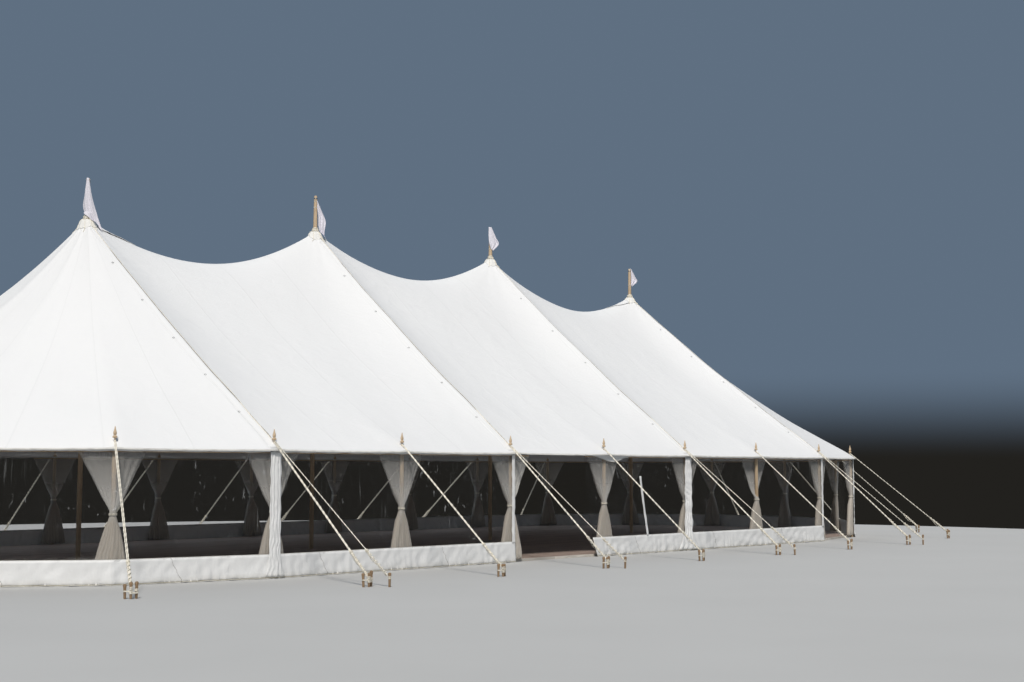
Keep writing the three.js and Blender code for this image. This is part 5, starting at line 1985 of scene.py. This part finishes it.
def rail_object(name, run):
    """A timber rail behind the poles, carried from each side of a drape to the next."""
    first, last = run["drapes"][0], run["drapes"][-1]
    stops = [(first, -RAIL_REACH), *((index, 0.0) for index in run["drapes"]), (last, RAIL_REACH)]
    corners = [eave_point(index, along, RAIL_OFFSET) for index, along in stops]
    lengths = []
    for start, end in zip(corners[:-1], corners[1:]):
        bar = unit_cube()
        size = float(np.linalg.norm(end - start)) + RAIL_SIZE * 0.2
        with whole_mesh():
            bpy.ops.transform.resize(value=(size, RAIL_SIZE, RAIL_SIZE), center_override=(0, 0, 0))
            bpy.ops.mesh.bevel(offset=0.003, segments=2, affect="EDGES")
        angle = math.atan2(end[1] - start[1], end[0] - start[0])
        middle = (start + end) / 2
        bar.data.transform(Matrix.Translation((*middle, RAIL_HEIGHT)) @ Matrix.Rotation(angle, 4, "Z"))
        lengths.append(bar)
    return finished(join_objects(name, lengths), "pale_timber", smooth=50)


class MARQUEE_OT_drapes(Operator):
    """Builds the drapes at the poles with their tie-backs and rails"""

    bl_idname = "marquee.drapes"
    bl_label = "Drapes"

    def execute(self, context):
        for run in RUNS:
            name = run["name"]
            rail = rail_object(f"{name}_drape_rail", run)
            for count, index in enumerate(run["drapes"]):
                grid = bent_round(index, *drape_grid(300 + index, DRAPES_BEHIND.get(index)))
                label = f"{pole_at(index)['name']}_drape"
                replaced = [f"{name}_drapes"] if count == 0 else []
                cloth = cloth_part(grid, DRAPE_CLOTH, wrap=True)
                drape = built(label, cloth, "voile", replaced)
                tie = roped(f"{label}_tie", tie_band(index))
        return {"FINISHED"}


# Floor

BOARD_GAP = 0.004
BOARD_LENGTH = 2.4
BOARD_THICKNESS = 0.02
EDGE_WIDTH = 0.05
BEARER_TOP = 0.0285


def board_parts(pitch):
    """Floor boards in staggered rows that cover the plan's outer box."""
    half_x = HALF_STRAIGHT + HALF_WIDTH
    count = math.ceil(HALF_WIDTH / pitch)
    parts = []
    corner_faces = [(0, 3, 2, 1), (4, 5, 6, 7), (0, 1, 5, 4), (1, 2, 6, 5), (2, 3, 7, 6), (3, 0, 4, 7)]
    draw = np.random.default_rng(9)
    for row in range(-count, count):
        shift = (row % 3) * BOARD_LENGTH / 3
        start = math.floor((-half_x + shift) / BOARD_LENGTH) * BOARD_LENGTH - shift
        while start < half_x:
            low_x, high_x = start + BOARD_GAP / 2, start + BOARD_LENGTH - BOARD_GAP / 2
            low_y, high_y = row * pitch + BOARD_GAP / 2, (row + 1) * pitch - BOARD_GAP / 2
            top = FLOOR_TOP - draw.uniform(0.0, 0.0012)
            points = [(x, y, z) for z in (FLOOR_TOP - BOARD_THICKNESS, top) for x, y in
                      ((low_x, low_y), (high_x, low_y), (high_x, high_y), (low_x, high_y))]
            parts.append(part(points, corner_faces))
            start += BOARD_LENGTH
    return parts


def floor_outline(inset):
    return [eave_point(index, 0, -inset) for index in range(len(POLES))]


def cut_to_outline(piece, inset):
    """Cuts a flat piece off outside the floor's many-sided outline."""
    outline = floor_outline(inset)
    select_only(piece)
    with whole_mesh():
        for start, end in zip(outline, outline[1:] + outline[:1]):
            along = (end - start) / np.linalg.norm(end - start)
            bpy.ops.mesh.select_all(action="SELECT")
            bpy.ops.mesh.bisect(plane_co=(*start, 0), plane_no=(along[1], -along[0], 0), use_fill=True,
                                clear_outer=True)
    return piece


def edge_board(name):
    """The pale board that edges the floor: a closed ring between two outlines."""
    outer, inner = floor_outline(FLOOR_INSET), floor_outline(FLOOR_INSET + EDGE_WIDTH)
    count = len(outer)
    points = [(*place, height) for height in (0.0, FLOOR_TOP) for ring in (outer, inner) for place in ring]
    around = np.arange(count)
    after = (around + 1) % count
    low_out, low_in, top_out, top_in = 0, count, 2 * count, 3 * count
    quads = np.concatenate([
        np.stack([one + around, one + after, two + after, two + around], -1)
        for one, two in ((low_out, top_out), (top_in, low_in), (top_out, top_in), (low_in, low_out))])
    board = mesh_object(name, part(points, quads))
    select_only(board)
    with whole_mesh():
        bpy.ops.mesh.bevel(offset=0.002, segments=1, affect="EDGES")
    return board


class MARQUEE_OT_floor(Operator):
    """Lays the boards of the raised floor, its edge board and the bearers' dark underside"""

    bl_idname = "marquee.floor"
    bl_label = "Floor"

    def execute(self, context):
        pitch = context.scene.marquee_sizes.board_width + BOARD_GAP
        boards = mesh_object("floor_board_rows", board_parts(pitch))
        cut_to_outline(boards, FLOOR_INSET + EDGE_WIDTH + 0.002)
        finished(boards, "floor_boards", ["floor"], smooth=20)
        finished(edge_board("floor_edge"), "edge_board", smooth=20)
        deck = unit_cube()
        deck.name = "floor_bearers"
        size = (2 * (HALF_STRAIGHT + HALF_WIDTH), 2 * HALF_WIDTH, BEARER_TOP)
        deck.data.transform(Matrix.Translation((0, 0, BEARER_TOP / 2)) @ Matrix.Diagonal((*size, 1)))
        cut_to_outline(deck, FLOOR_INSET + EDGE_WIDTH + 0.004)
        finished(deck, "stake_timber", smooth=20, slot="floor_boards")
        return {"FINISHED"}


# Panel

BUILDERS = [
    MARQUEE_OT_stage, MARQUEE_OT_roof, MARQUEE_OT_laps, MARQUEE_OT_king_poles, MARQUEE_OT_side_poles,
    MARQUEE_OT_storm_ropes, MARQUEE_OT_guy_ropes, MARQUEE_OT_walls, MARQUEE_OT_windows, MARQUEE_OT_drapes,
    MARQUEE_OT_floor, MARQUEE_OT_pennants,
]


class MARQUEE_PT_panel(Panel):
    """Lists the marquee's settings and the operators that build it"""

    bl_idname = "MARQUEE_PT_panel"
    bl_label = "Marquee"
    bl_space_type = "VIEW_3D"
    bl_region_type = "UI"
    bl_category = "Marquee"

    def draw(self, context):
        column = self.layout.column(align=True)
        for group in (context.scene.marquee_sizes, context.scene.marquee_colours):
            for name in group.__annotations__:
                column.prop(group, name)
        for build in BUILDERS:
            column.operator(build.bl_idname)


CLASSES = [MarqueeSizes, MarqueeColours, *BUILDERS, MARQUEE_PT_panel]


# Registration and the whole build

def register():
    for entry in CLASSES:
        bpy.utils.register_class(entry)
    Scene.marquee_sizes = PointerProperty(type=MarqueeSizes)
    Scene.marquee_colours = PointerProperty(type=MarqueeColours)


def unregister():
    del Scene.marquee_colours
    del Scene.marquee_sizes
    for entry in reversed(CLASSES):
        bpy.utils.unregister_class(entry)


def main():
    register()
    for build in BUILDERS:
        group, operator = build.bl_idname.split(".")
        getattr(getattr(bpy.ops, group), operator)()


if __name__ == "__main__":
    main()
